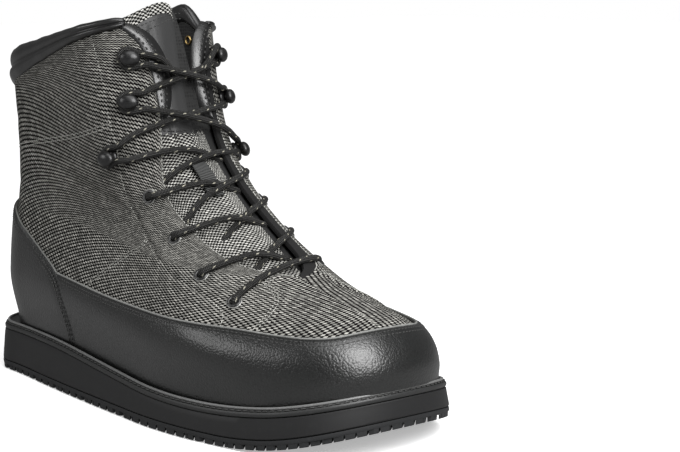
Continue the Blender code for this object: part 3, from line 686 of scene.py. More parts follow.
def vector_node(tree, operation, first, second):
    """A vector math node fed by a socket and a socket or a value."""
    made = tree.nodes.new("ShaderNodeVectorMath")
    made.operation = operation
    tree.links.new(first, made.inputs[0])
    if isinstance(second, (tuple, float, int)):
        if operation == "SCALE":
            made.inputs["Scale"].default_value = second
        else:
            made.inputs[1].default_value = second
    else:
        tree.links.new(second, made.inputs[1])
    return made.outputs[0]


def noise_node(tree, vector, scale, detail=2.0, rough=0.5):
    """A noise texture's value."""
    made = tree.nodes.new("ShaderNodeTexNoise")
    made.inputs["Scale"].default_value = scale
    made.inputs["Detail"].default_value = detail
    made.inputs["Roughness"].default_value = rough
    tree.links.new(vector, made.inputs["Vector"])
    return made.outputs["Fac"]


def ramp(tree, value, low, high):
    """A value spread from 0 at low to 1 at high."""
    made = tree.nodes.new("ShaderNodeMapRange")
    made.inputs["From Min"].default_value = low
    made.inputs["From Max"].default_value = high
    tree.links.new(value, made.inputs["Value"])
    return made.outputs["Result"]


# Woven cloth: pale and dark dashes of the same length along each row, each row half a step on from the last
weave, enter, leave = new_group("woven_ticks", [("UV", "NodeSocketVector", None),
                                                ("Pitch", "NodeSocketFloat", 700.0)],
                                ["Tick", "Shade", "Height"])
scaled = weave.nodes.new("ShaderNodeVectorMath")
scaled.operation = "SCALE"
weave.links.new(enter.outputs["UV"], scaled.inputs[0])
weave.links.new(enter.outputs["Pitch"], scaled.inputs["Scale"])
wobble = weave.nodes.new("ShaderNodeTexNoise")
wobble.inputs["Scale"].default_value = 1.3
wobble.inputs["Detail"].default_value = 1.0
weave.links.new(scaled.outputs[0], wobble.inputs["Vector"])
shaken = vector_node(weave, "ADD", scaled.outputs[0],
                     vector_node(weave, "SCALE", vector_node(weave, "SUBTRACT", wobble.outputs["Color"],
                                                            (0.5, 0.5, 0.5)), 0.09))
split = weave.nodes.new("ShaderNodeSeparateXYZ")
weave.links.new(shaken, split.inputs[0])
across, upward = split.outputs["X"], split.outputs["Y"]
line = math_node(weave, "MULTIPLY", upward, 3.0)
row_number = math_node(weave, "FLOOR", line)
row_place = math_node(weave, "FRACT", line)
lean = math_node(weave, "MULTIPLY_ADD", row_place, 0.10, across)
moved = math_node(weave, "MULTIPLY_ADD", row_number, 0.5, lean)
tick_place = math_node(weave, "FRACT", moved)
tick_number = math_node(weave, "FLOOR", moved)
off_tick = math_node(weave, "ABSOLUTE", math_node(weave, "MULTIPLY_ADD", tick_place, 2.0, -1.0))
wide = ramp(weave, off_tick, 0.72, 0.34)
off_row = math_node(weave, "ABSOLUTE", math_node(weave, "MULTIPLY_ADD", row_place, 2.0, -1.0))
tall = math_node(weave, "SUBTRACT", 1.0, math_node(weave, "POWER", off_row, 3.0))
bump = math_node(weave, "MULTIPLY", wide, tall)
weave.links.new(ramp(weave, bump, 0.34, 0.66), leave.inputs["Tick"])
weave.links.new(bump, leave.inputs["Height"])
place = weave.nodes.new("ShaderNodeCombineXYZ")
weave.links.new(tick_number, place.inputs["X"])
weave.links.new(row_number, place.inputs["Y"])
chance = weave.nodes.new("ShaderNodeTexWhiteNoise")
chance.noise_dimensions = "3D"
weave.links.new(place.outputs[0], chance.inputs["Vector"])
weave.links.new(math_node(weave, "POWER", chance.outputs["Value"], 1.4), leave.inputs["Shade"])

# Leather grain: rounded pebbles with fine pores between them
grain, enter, leave = new_group("leather_grain", [("Vector", "NodeSocketVector", None),
                                                  ("Scale", "NodeSocketFloat", 900.0)], ["Height", "Pore"])
bent = grain.nodes.new("ShaderNodeTexNoise")
bent.inputs["Scale"].default_value = 160.0
bent.inputs["Detail"].default_value = 2.0
grain.links.new(enter.outputs["Vector"], bent.inputs["Vector"])
warped = vector_node(grain, "ADD", enter.outputs["Vector"],
                     vector_node(grain, "SCALE", bent.outputs["Color"], 0.0012))
pebble = grain.nodes.new("ShaderNodeTexVoronoi")
pebble.feature = "SMOOTH_F1"
pebble.inputs["Smoothness"].default_value = 0.6
grain.links.new(warped, pebble.inputs["Vector"])
grain.links.new(enter.outputs["Scale"], pebble.inputs["Scale"])
hollow = math_node(grain, "POWER", pebble.outputs["Distance"], 1.5)
grain.links.new(math_node(grain, "SUBTRACT", 1.0, hollow), leave.inputs["Height"])
grain.links.new(ramp(grain, pebble.outputs["Distance"], 0.45, 0.85), leave.inputs["Pore"])

# Mottling: slow variation in shade with a little dust
mottle, enter, leave = new_group("soft_mottle", [("Vector", "NodeSocketVector", None)],
                                 ["Slow", "Fine", "Dust"])
mottle.links.new(noise_node(mottle, enter.outputs["Vector"], 22.0, 3.0), leave.inputs["Slow"])
mottle.links.new(noise_node(mottle, enter.outputs["Vector"], 1400.0, 2.0, 0.6), leave.inputs["Fine"])
mottle.links.new(ramp(mottle, noise_node(mottle, enter.outputs["Vector"], 190.0, 6.0, 0.7), 0.56, 0.78),
                 leave.inputs["Dust"])
print("Shader groups:", [group.name for group in bpy.data.node_groups])

# %% [markdown]
# ## The finishes of this boot
# Almost everything is black, so the finishes differ in gloss and relief more than in colour: matt rubber,
# pebbled leather with a low gleam, and cloth whose pale ticks carry all the light.
# %% Materials
def new_coat(name, color, roughness, metallic=0.0, **extra):
    """A material with its shader and the plain values set on its sockets."""
    coat = bpy.data.materials.new(name)
    coat.use_nodes = True
    shader = coat.node_tree.nodes["Principled BSDF"]
    shader.inputs["Base Color"].default_value = (*color, 1.0)
    shader.inputs["Roughness"].default_value = roughness
    shader.inputs["Metallic"].default_value = metallic
    for key, value in extra.items():
        shader.inputs[key.replace("_", " ")].default_value = value
    return coat, coat.node_tree, shader


def group_node(tree, group, **values):
    """A shader group placed in a material, with its own values."""
    made = tree.nodes.new("ShaderNodeGroup")
    made.node_tree = group
    for key, value in values.items():
        if isinstance(value, (int, float)):
            made.inputs[key].default_value = value
        else:
            tree.links.new(value, made.inputs[key])
    return made


def mix_color(tree, factor, first, second):
    """A colour between two colours or sockets."""
    made = tree.nodes.new("ShaderNodeMix")
    made.data_type = "RGBA"
    tree.links.new(factor, made.inputs["Factor"])
    for socket, value in ((made.inputs[6], first), (made.inputs[7], second)):
        if isinstance(value, tuple):
            socket.default_value = (*value, 1.0)
        else:
            tree.links.new(value, socket)
    return made.outputs[2]


def coordinates(tree):
    """The outputs of a texture coordinate node: UV and Object are used here."""
    return tree.nodes.new("ShaderNodeTexCoord").outputs


def bump_node(tree, shader, height, distance, strength=1.0):
    """Relief from a height in metres."""
    made = tree.nodes.new("ShaderNodeBump")
    made.inputs["Strength"].default_value = strength
    made.inputs["Distance"].default_value = distance
    tree.links.new(height, made.inputs["Height"])
    tree.links.new(made.outputs["Normal"], shader.inputs["Normal"])


def cloth_coat(name, dark, low, high, pitch):
    """Woven cloth with pale ticks."""
    coat, tree, shader = new_coat(name, dark, 0.74, Specular_IOR_Level=0.08)
    where = coordinates(tree)
    ticks = group_node(tree, weave, UV=where["UV"], Pitch=pitch)
    slow = group_node(tree, mottle, Vector=where["Object"])
    shade = math_node(tree, "MULTIPLY_ADD", ticks.outputs["Shade"], 0.55, 0.05)
    tone = mix_color(tree, math_node(tree, "MULTIPLY_ADD", slow.outputs["Slow"], 0.35, shade), low, high)
    tree.links.new(mix_color(tree, ticks.outputs["Tick"], dark, tone), shader.inputs["Base Color"])
    tree.links.new(math_node(tree, "MULTIPLY_ADD", ticks.outputs["Tick"], -0.12, 0.78),
                   shader.inputs["Roughness"])
    bump_node(tree, shader, ticks.outputs["Height"], 0.00035, 0.8)
    return coat


def leather_coat(name, color, worn, roughness, scale, depth):
    """Pebbled leather."""
    coat, tree, shader = new_coat(name, color, roughness, Coat_Weight=0.22, Coat_Roughness=0.28,
                                  Specular_IOR_Level=0.62)
    where = coordinates(tree)
    pebbles = group_node(tree, grain, Vector=where["Object"], Scale=scale)
    slow = group_node(tree, mottle, Vector=where["Object"])
    tone = mix_color(tree, math_node(tree, "MULTIPLY", slow.outputs["Dust"], 0.5), color, worn)
    tree.links.new(mix_color(tree, pebbles.outputs["Pore"], tone, tuple(0.35 * value for value in color)),
                   shader.inputs["Base Color"])
    tree.links.new(math_node(tree, "MULTIPLY_ADD", slow.outputs["Slow"], 0.16, roughness - 0.08),
                   shader.inputs["Roughness"])
    bump_node(tree, shader, math_node(tree, "MULTIPLY_ADD", slow.outputs["Fine"], 0.25,
                                      pebbles.outputs["Height"]), depth, 0.9)
    return coat


def rubber_coat(name, color, dusty, roughness, depth):
    """Matt rubber with fine grit."""
    coat, tree, shader = new_coat(name, color, roughness, Specular_IOR_Level=0.4)
    where = coordinates(tree)
    slow = group_node(tree, mottle, Vector=where["Object"])
    tone = mix_color(tree, math_node(tree, "MULTIPLY", slow.outputs["Dust"], 0.6), color, dusty)
    tree.links.new(tone, shader.inputs["Base Color"])
    tree.links.new(math_node(tree, "MULTIPLY_ADD", slow.outputs["Slow"], 0.2, roughness - 0.1),
                   shader.inputs["Roughness"])
    bump_node(tree, shader, slow.outputs["Fine"], depth, 0.8)
    return coat


cloth = cloth_coat("woven_cloth", (0.0015, 0.0015, 0.0014), (0.085, 0.084, 0.078),
                   (0.48, 0.47, 0.435), 240.0)
tongue_cloth = cloth_coat("tongue_cloth", (0.0030, 0.0030, 0.0029), (0.16, 0.16, 0.15),
                          (0.66, 0.65, 0.61), 305.0)

# Leather: name, colour, worn colour, roughness, pebbles a metre, depth of the grain
leather, padding, panel_leather = [leather_coat(*row) for row in (
    ("black_leather", (0.0050, 0.0054, 0.0052), (0.013, 0.014, 0.013), 0.36, 900.0, 0.00021),
    ("collar_leather", (0.0060, 0.0060, 0.0060), (0.014, 0.014, 0.0135), 0.34, 1700.0, 0.00008),
    ("panel_leather", (0.0030, 0.0032, 0.0034), (0.008, 0.008, 0.008), 0.72, 1500.0, 0.00006))]

# Matt finishes: name, colour, dusty colour, roughness, depth of the grit
cut_edge_with_highlight, sole_side, tread, welting, bead_painted_highlight, footbed, binding = [rubber_coat(*row) for row in (
    # The cut edge's pale grey is partly the raw edge and partly a painted highlight.
    ("cut_edge_with_highlight", (0.17, 0.172, 0.165), (0.36, 0.36, 0.35), 0.60, 0.00005),
    ("midsole_rubber", (0.0080, 0.0080, 0.0084), (0.015, 0.015, 0.0155), 0.56, 0.00003),
    ("tread_rubber", (0.013, 0.0135, 0.0145), (0.030, 0.031, 0.033), 0.60, 0.00006),
    ("welt_rubber", (0.020, 0.0205, 0.0205), (0.045, 0.045, 0.045), 0.46, 0.00004),
    # The bead's pale grey is a painted highlight along the foot of the rand.
    ("bead_painted_highlight", (0.13, 0.131, 0.13), (0.24, 0.24, 0.24), 0.36, 0.00002),
    ("footbed_cloth", (0.020, 0.020, 0.021), (0.045, 0.045, 0.046), 0.9, 0.00012),
    ("suede_binding", (0.0045, 0.0045, 0.0045), (0.014, 0.014, 0.0135), 0.90, 0.0002))]

# Lining: black knit with small round holes
lining, tree, shader = new_coat("lining_knit", (0.010, 0.010, 0.010), 0.85)
where = coordinates(tree)
holes = tree.nodes.new("ShaderNodeTexVoronoi")
holes.inputs["Scale"].default_value = 520.0
holes.inputs["Randomness"].default_value = 0.25
tree.links.new(where["Object"], holes.inputs["Vector"])
tree.links.new(mix_color(tree, ramp(tree, holes.outputs["Distance"], 0.25, 0.45), (0.001, 0.001, 0.001),
                         (0.010, 0.010, 0.0098)), shader.inputs["Base Color"])
bump_node(tree, shader, holes.outputs["Distance"], 0.0004)

# Webbing: fine ribs across the strap
webbing, tree, shader = new_coat("webbing", (0.035, 0.036, 0.036), 0.75, Specular_IOR_Level=0.3)
where = coordinates(tree)
split = tree.nodes.new("ShaderNodeSeparateXYZ")
tree.links.new(where["UV"], split.inputs[0])
slanted = math_node(tree, "MULTIPLY", split.outputs["X"], 1500.0)
rib = math_node(tree, "SINE", math_node(tree, "MULTIPLY_ADD", split.outputs["Y"], 4400.0, slanted))
tree.links.new(mix_color(tree, ramp(tree, rib, -0.6, 0.9), (0.006, 0.006, 0.006),
                         (0.085, 0.087, 0.085)), shader.inputs["Base Color"])
bump_node(tree, shader, rib, 0.0002)

# Lace cord: a round braid with pale flecks in two spiral lines. Its colour is darker in the grooves of the
# braid and lighter on the crests of the strands: painted shade and painted highlight.
lace_coat, tree, shader = new_coat("lace_braid", (0.004, 0.004, 0.004), 0.42, Specular_IOR_Level=0.35)
where = coordinates(tree)
split = tree.nodes.new("ShaderNodeSeparateXYZ")
tree.links.new(where["UV"], split.inputs[0])
along, around = split.outputs["X"], split.outputs["Y"]


def spiral(operation, per_metre, turns):
    """A wave or a saw that winds round the cord."""
    wound = math_node(tree, "MULTIPLY", around, turns)
    return math_node(tree, operation, math_node(tree, "MULTIPLY_ADD", along, per_metre, wound))


STRANDS = 6 * 2 * math.pi
braid = math_node(tree, "MULTIPLY", spiral("SINE", 3900.0, STRANDS), spiral("SINE", 3900.0, -STRANDS))
fleck = math_node(tree, "MULTIPLY", math_node(tree, "LESS_THAN", spiral("FRACT", 45.0, 3.0), 0.17),
                  math_node(tree, "LESS_THAN", spiral("FRACT", 170.0, 2.0), 0.22))
# Braid tone follows the braid's relief: painted shade in the grooves, painted highlight on the crests.
braid_shade_and_highlight = mix_color(tree, ramp(tree, braid, -0.7, 0.9), (0.0020, 0.0020, 0.0020),
                        (0.022, 0.0215, 0.020))
tree.links.new(mix_color(tree, fleck, braid_shade_and_highlight, (0.36, 0.345, 0.28)), shader.inputs["Base Color"])
bump_node(tree, shader, braid, 0.00022)


# Threads, painted metal and bright metal
def speckled(name, color, light, roughness, metallic, scale, depth):
    """A fine speckle over one tone."""
    coat, tree, shader = new_coat(name, color, roughness, metallic)
    where = coordinates(tree)
    fine = noise_node(tree, where["Object"], scale, 3.0, 0.6)
    tree.links.new(mix_color(tree, ramp(tree, fine, 0.40, 0.66), color, light),
                   shader.inputs["Base Color"])
    tree.links.new(math_node(tree, "MULTIPLY_ADD", fine, 0.25, roughness - 0.12),
                   shader.inputs["Roughness"])
    bump_node(tree, shader, fine, depth, 0.5)
    return coat


# Name, colour, lighter colour, roughness, metal, speckles a metre, depth
(black_thread, grey_thread, hook_paint, eyelet_paint, eyelet_highlight_metal, drain_metal,
 rivet_brass) = [speckled(*row) for row in (
     ("black_thread", (0.010, 0.010, 0.010), (0.050, 0.050, 0.048), 0.6, 0.0, 2500.0, 0.0001),
     ("grey_thread", (0.16, 0.16, 0.15), (0.55, 0.55, 0.51), 0.6, 0.0, 1800.0, 0.0001),
     ("hook_paint", (0.0045, 0.0045, 0.0048), (0.010, 0.010, 0.010), 0.34, 0.0, 600.0, 0.00003),
     ("eyelet_paint", (0.012, 0.012, 0.012), (0.050, 0.050, 0.049), 0.26, 0.3, 500.0, 0.00003),
     # Pale metal for the eyelets' outer ring: a painted highlight on their edge.
     ("eyelet_highlight_metal", (0.20, 0.20, 0.19), (0.46, 0.46, 0.44), 0.34, 0.5, 900.0, 0.00003),
     ("drain_metal", (0.52, 0.52, 0.50), (0.72, 0.72, 0.70), 0.28, 1.0, 900.0, 0.00003),
     ("rivet_brass", (0.42, 0.29, 0.11), (0.62, 0.45, 0.20), 0.32, 1.0, 900.0, 0.00003))]
print("Materials:", len(bpy.data.materials))

# %% [markdown]
# ## The floor
# The boot stands on a wide plane that the camera sees as white. Its light on the boot is much weaker than
# white paper would give, so that the sole stays dark underneath.
# %% Floor
bpy.ops.object.select_all(action="DESELECT")
bpy.ops.mesh.primitive_plane_add(size=14.0, location=(0, 0, -0.0006))
floor = bpy.context.object
floor.name = "floor"
floor_coat, tree, shader = new_coat("pale_floor", (0.90, 0.90, 0.90), 0.8)
where = coordinates(tree)
tree.links.new(mix_color(tree, noise_node(tree, where["Object"], 4.0), (0.89, 0.89, 0.89),
                         (0.92, 0.92, 0.92)), shader.inputs["Base Color"])
shader.inputs["Emission Color"].default_value = (1.0, 1.0, 1.0, 1.0)
shader.inputs["Emission Strength"].default_value = 0.42
dim = tree.nodes.new("ShaderNodeBsdfDiffuse")
dim.inputs["Color"].default_value = (0.30, 0.30, 0.30, 1.0)
chosen = tree.nodes.new("ShaderNodeMixShader")
tree.links.new(tree.nodes.new("ShaderNodeLightPath").outputs["Is Camera Ray"], chosen.inputs[0])
tree.links.new(dim.outputs[0], chosen.inputs[1])
tree.links.new(shader.outputs[0], chosen.inputs[2])
surface = [node for node in tree.nodes if node.type == "OUTPUT_MATERIAL"][0].inputs["Surface"]
tree.links.new(chosen.outputs[0], surface)
dress(floor, floor_coat)
print("Floor:", [round(value, 1) for value in floor.dimensions])

# %% [markdown]
# ## The sole
# The sole is built up in layers. Each layer runs through levels, and a level is the outline moved in by an
# inset at a height that follows the bottom or the top of the sole. The welt has a soft shoulder and a stitch
# groove, and a thin bead runs between it and the upper, whose pale grey is a painted highlight.
# %% Sole layers
def slab(name, levels, count=170):
    """A sole layer through levels of inset, base height and lift, with stations along the sole."""
    edges = [outline(inset, count) for inset, base, lift in levels]
    rings = []
    for station in range(count):
        outer, inner = [[(edge[0][station], edge[column][station], base(edge[0][station]) + lift)
                         for edge, (inset, base, lift) in zip(edges, levels)] for column in (1, 2)]
        rings.append(outer + inner[::-1])
    around = len(rings[0])
    faces = ring_faces(count, around)
    for base in (0, (count - 1) * around):
        faces += [(base + step, base + step + 1, base + around - 2 - step, base + around - 1 - step)
                  for step in range(len(levels) - 1)]
    piece = solid(name, np.array(rings).reshape(-1, 3), faces)
    face_out(piece)
    return piece


def sharp(piece, degrees=35):
    """Smooth shading that keeps edges sharper than an angle."""
    only(piece)
    bpy.ops.object.shade_smooth_by_angle(angle=math.radians(degrees))


MID_LOW = OUTSOLE_THICK + GAP
midsole = slab("midsole_block", [
    (0.0012, sole_floor, MID_LOW), (0.0007, sole_floor, MID_LOW + 0.0006),
    (0.0007, sole_floor, MID_LOW + 0.0012), (0.0017, sole_top, -WELT_THICK - 0.0034),
    (0.0020, sole_top, -WELT_THICK - 0.0009), (0.0025, sole_top, -WELT_THICK - GAP)])
finish(midsole, sole_side, ["midsole"])
sharp(midsole)
# Section of the welt: inset and lift over the top of the sole
WELT_LEVELS = [
    (0.0034, -0.0040), (0.0023, -0.0039), (0.0020, -0.0035), (0.0019, -0.0024), (0.0021, -0.0018),
    (0.0024, -0.0013), (0.0027, -0.0014), (0.0030, -0.0014), (0.0033, -0.0010), (0.0037, -0.0002),
    (0.0041, 0.0001), (0.0047, 0.0001), (0.0054, -0.0002), (0.0064, -0.0005), (0.0100, -0.0005)]
welt = slab("welt_strip", [(inset, sole_top, lift) for inset, lift in WELT_LEVELS])
finish(welt, welting, ["welt"])
sharp(welt, 60)


def outline_path(inset, count):
    """A closed flat path around the sole at an inset."""
    place, outer, inner = outline(inset, count)
    return np.concatenate([np.column_stack([place, outer]), np.column_stack([place, inner])[::-1]])


def sole_loop(inset, lift, count=400):
    """A closed path around the sole at an inset, with normals that point up."""
    path = outline_path(inset, count)
    spots = np.column_stack([path, sole_top(path[:, 0]) + lift])
    return spots, np.tile([0.0, 0.0, 1.0], (len(spots), 1))


spots, normals = sole_loop(0.0029, -0.0008)
stitches("welt_stitches", spots, normals, black_thread, pitch=0.0044, share=0.80, thick=0.0010, slant=0.12)
# A thin bead between the welt and the upper; its pale grey is a painted highlight.
spots, normals = sole_loop(0.0039, 0.0004, 500)
thin_bead("welt_bead", spots, normals, 0.0008, bead_painted_highlight, closed=True)

# %% [markdown]
# ## The tread
# The tread is a thin rubber sheet with small square lugs turned on their corners. One lug outline is set out
# on a diamond grid, and a lug that meets the edge is cut along it, as a sheet sole is cut from its roll.
# %% Tread lugs
LUG_PITCH = 0.0081
LUG_HALF = 0.0035
LUG_DEPTH = 0.0023
LUG_SMALLEST = 0.10
LUG_RINGS = ((0.90, 0.0), (0.97, 0.0003), (1.0, LUG_DEPTH + 0.0004))
sheet = slab("outsole_sheet", [
    (0.0018, sole_floor, LUG_DEPTH), (0.0008, sole_floor, LUG_DEPTH + 0.0004),
    (0.0006, sole_floor, 0.0036), (0.0008, sole_floor, OUTSOLE_THICK)])
rim = outline_path(0.0009, 500)
rim_ahead = np.roll(rim, -1, axis=0) - np.roll(rim, 1, axis=0)
rim_out = unit(np.column_stack([rim_ahead[:, 1], -rim_ahead[:, 0]]))


def clip(corners, spot, direction):
    """The part of a flat outline that lies behind a line."""
    kept = []
    depth = (corners - spot) @ direction
    for k in range(len(corners)):
        after = (k + 1) % len(corners)
        if depth[k] <= 0:
            kept.append(corners[k])
        if (depth[k] < 0) != (depth[after] < 0):
            share = depth[k] / (depth[k] - depth[after])
            kept.append(corners[k] + (corners[after] - corners[k]) * share)
    return np.array(kept)


lug_points, lug_faces, lug_count = [], [], 0
diamond = np.array([(1, 0), (0, 1), (-1, 0), (0, -1)]) * LUG_HALF
for i in range(84):
    for j in range(-17, 18):
        if (i + j) % 2:
            continue
        centre = np.array([i * LUG_PITCH / 2, j * LUG_PITCH / 2])
        away = np.linalg.norm(rim - centre, axis=1)
        near = int(np.argmin(away))
        depth = float((centre - rim[near]) @ rim_out[near])
        if depth > LUG_HALF * 0.8:
            continue
        corners = centre + diamond
        if depth > -LUG_HALF * 1.5:
            for step in (-9, 0, 9):
                beside = (near + step) % len(rim)
                if len(corners) > 2 and np.linalg.norm(rim[beside] - centre) < 2.2 * LUG_HALF:
                    corners = clip(corners, rim[beside], rim_out[beside])
        if len(corners) < 3:
            continue
        size = 0.5 * abs(sum(corners[k][0] * corners[k - 1][1] - corners[k - 1][0] * corners[k][1]
                             for k in range(len(corners))))
        if size < LUG_SMALLEST * 2 * LUG_HALF**2:
            continue
        middle = corners.mean(axis=0)
        start, around = len(lug_points), len(corners)
        for grow, lift in LUG_RINGS:
            for corner in corners:
                x, y = middle + (corner - middle) * grow
                lug_points.append((x, y, sole_floor(x) + lift))
        for level in range(2):
            for k in range(around):
                after = (k + 1) % around
                lug_faces.append((start + level * around + k, start + level * around + after,
                                  start + (level + 1) * around + after, start + (level + 1) * around + k))
        lug_faces.append(tuple(start + k for k in range(around))[::-1])
        lug_faces.append(tuple(start + 2 * around + k for k in range(around)))
        lug_count += 1
lugs = solid("tread_lugs", lug_points, lug_faces)
face_out(lugs)
finish(sheet, tread, ["outsole"])
sharp(sheet)
finish(lugs, tread, smooth=False)
print("Lugs:", lug_count)

# %% [markdown]
# ## The cloth upper
# The upper is one body of woven cloth with a knitted lining. Its seams are set out on the skin by row and
# turn. The facing that carries the eyelets stands a little proud of the quarter, the vamp lies a little
# under it, and a few soft hollows mark where the ankle bends.
# %% Seams of the upper
# Each seam by row and turn
FACING_SEAM = np.array([
    (3.0, 0.700), (4.5, 0.709), (5.9, 0.732), (6.6, 0.7325), (7.4, 0.710), (8.1, 0.683), (8.7, 0.6725),
    (9.7, 0.665), (11.2, 0.684), (12.4, 0.695), (13.3, 0.709), (14.2, 0.720), (17.0, 0.7525), (17.7, 0.750),
    (18.8, 0.7575), (19.3, 0.756), (20.5, 0.740)])
VAMP_SEAM = np.array([
    (3.0, 0.735), (4.1, 0.765), (4.6, 0.776), (5.6, 0.8125), (6.9, 0.861), (7.9, 0.8825), (8.4, 0.890),
    (9.0, 0.925), (9.6, 0.985), (10.2, 1.10)])
ANKLE_SEAM = np.array([
    (11.1, 0.672), (10.0, 0.620), (8.65, 0.570), (6.85, 0.5075), (5.85, 0.474), (4.4, 0.425)])
QUARTER_SEAM = np.array([
    (15.2, 0.05), (15.5, 0.245), (16.0, 0.361), (16.6, 0.516), (17.1, 0.634), (17.6, 0.752)])
# Soft hollows of the ankle and the vamp: row, turn, row reach, turn reach, slant, depth
HOLLOWS = np.array([
    (13.6, -0.52, 0.55, 0.16, 6.0, 0.0009), (12.6, -0.30, 0.50, 0.14, -4.0, 0.0007),
    (14.8, -0.66, 0.60, 0.07, 9.0, 0.0008), (15.9, -0.40, 0.60, 0.13, -3.0, 0.0005),
    (7.6, -0.955, 0.45, 0.05, 0.0, 0.0005), (13.4, 0.50, 0.55, 0.16, -6.0, 0.0009),
    (12.4, 0.28, 0.50, 0.14, 4.0, 0.0007), (15.2, 0.62, 0.60, 0.09, -8.0, 0.0008),
    (17.6, -0.30, 0.50, 0.16, 3.0, 0.0004), (7.6, 0.955, 0.45, 0.05, 0.0, 0.0005)])
# Edge of the black binding on the inner side of the throat: row, turn
BINDING_EDGE = np.array([
    (8.9, 0.985), (9.4, 0.925), (9.9, 0.900), (11.0, 0.899), (13.0, 0.905), (15.0, 0.912),
    (17.0, 0.925), (18.3, 0.930), (19.7, 0.900)])
# Turn at which the cloth is cut back round the top corner, by row
FRONT_CUT = np.array([
    (18.3, 1.0), (18.8, 0.992), (19.2, 0.968), (19.6, 0.926), (19.75, 0.900), (20.0, 0.866)])


def relief(number, turn):
    """Lift of the cloth over the plain skin."""
    size = np.abs(turn)
    facing = table_value(FACING_SEAM, number, 1)
    vamp = table_value(VAMP_SEAM, number, 1)
    lift = 0.0005 * ease((size - facing) / 0.012) * (number > 3.2)
    lift = lift - 0.0004 * np.exp(-((size - facing) / 0.005)**2)
    lift = lift - 0.0009 * ease((size - vamp) / 0.008) * ease((10.3 - number) / 0.4)
    for row, place, row_reach, turn_reach, slant, depth in HOLLOWS:
        off_row = (number - row - slant * (turn - place)) / row_reach
        lift = lift - depth * np.exp(-off_row**2 - ((turn - place) / turn_reach)**2)
    return lift


def front_turn(number):
    """Turn at which the cloth ends in front: all the way, but cut back round the top corner."""
    return np.interp(number, FRONT_CUT[:, 0], FRONT_CUT[:, 1])


def top_lift(number, turn):
    """Rise of the inner side's top edge behind the throat, where the shaft stands higher."""
    size = 0.0150 * ease((turn - 0.26) / 0.22) * (1 - ease((turn - 0.56) / 0.14))
    return size * ease((number - 17.5) / 2.4)


print("Hollows in the cloth:", len(HOLLOWS))

# %% [markdown]
# ## The body of the upper
# The cloth is one patch of the skin with the seams' relief, and its UV map is in metres along the rows, so
# the weave keeps its scale. Solidify gives it a wall whose inside is the lining.
# %% Upper body
body_rows = np.concatenate([np.linspace(0, 9, 56), np.linspace(9.12, 18.4, 70), np.linspace(18.5, 20, 26)])
even_turns = np.linspace(-1, 1, 205)
body_turns = 0.45 * np.sin(even_turns * math.pi / 2) + 0.55 * even_turns
grid_rows, grid_turns = np.meshgrid(body_rows, body_turns, indexing="ij")
grid_turns = grid_turns * front_turn(grid_rows)
spots, normals = skin(grid_rows, grid_turns, relief(grid_rows, grid_turns))
spots[..., 2] += top_lift(grid_rows, grid_turns)
WEAVE_TILT = 0.10
cloth_uv = lengths(spots)
cloth_uv[..., 1] += WEAVE_TILT * np.abs(cloth_uv[..., 0])
upper = patch("upper_cloth", spots, normals, cloth_uv)
dress(upper, cloth, lining, binding)
at_row = 0.5 * (grid_rows[:-1, :-1] + grid_rows[1:, 1:]).ravel()
at_turn = 0.5 * (grid_turns[:-1, :-1] + grid_turns[1:, 1:]).ravel()
bound = ((at_turn > table_value(BINDING_EDGE, at_row, 1)) & (at_row > BINDING_EDGE[0, 0])
         & (at_row < BINDING_EDGE[-1, 0]))
upper.data.polygons.foreach_set("material_index", np.where(bound, 2, 0).astype(np.int32))
merge(upper)
wall(upper, WALL, rounding=0.0005, inner=1)
finish(upper, cloth, ["upper"])

# %% [markdown]
# ## Seams in the cloth
# The seams are sewn twice with a pale grey thread, 2 to 3 mm between the rows, as the photo shows them.
# %% Cloth stitches
WORDS = {-1: "outer", 1: "inner"}


def seam_rows(name, rows, turns, coat, apart=0.0024, **settings):
    """Two rows of stitches along a path given by rows and turns, on both sides of the boot."""
    for side, word in WORDS.items():
        spots, normals = skin(rows, side * turns, relief(rows, side * turns))
        beside = unit(np.cross(normals, np.gradient(spots, axis=0)))
        for number, shift in enumerate((-apart / 2, apart / 2)):
            stitches("%s_%s_%d" % (name, word, number + 1), spots + beside * shift, normals, coat,
                     **settings)


rows = np.linspace(19.8, 4.7, 260)
seam_rows("facing_stitches", rows, table_value(FACING_SEAM, rows, 1), grey_thread, pitch=0.0024,
          thick=0.00060)
for name, seam, count, thick, apart in (("ankle_stitches", ANKLE_SEAM, 160, 0.00050, 0.0018),
                                        ("quarter_stitches", QUARTER_SEAM, 220, 0.00055, 0.0020)):
    path = smooth_path(seam, count)
    seam_rows(name, path[:, 0], path[:, 1], grey_thread, pitch=0.0023, thick=thick, apart=apart)
rows = np.linspace(9.1, 4.3, 150)
seam_rows("vamp_stitches", rows, table_value(VAMP_SEAM, rows, 1) - 0.012, grey_thread, pitch=0.0023,
          thick=0.00050, apart=0.0020)

# Single rows along the binding on the inner side and along the outer edge of the throat
rows = np.linspace(17.9, 9.3, 240)
turns = table_value(BINDING_EDGE, rows, 1) - 0.002
path, over = skin(rows, turns, relief(rows, turns))
stitches("binding_stitches", path, over, grey_thread, pitch=0.0022, share=0.75, thick=0.0009)
rows = np.linspace(18.1, 8.2, 240)
turns = np.full(len(rows), -0.988)
path, over = skin(rows, turns, relief(rows, turns))
stitches("throat_stitches", path, over, grey_thread, pitch=0.0026, share=0.70, thick=0.0007)

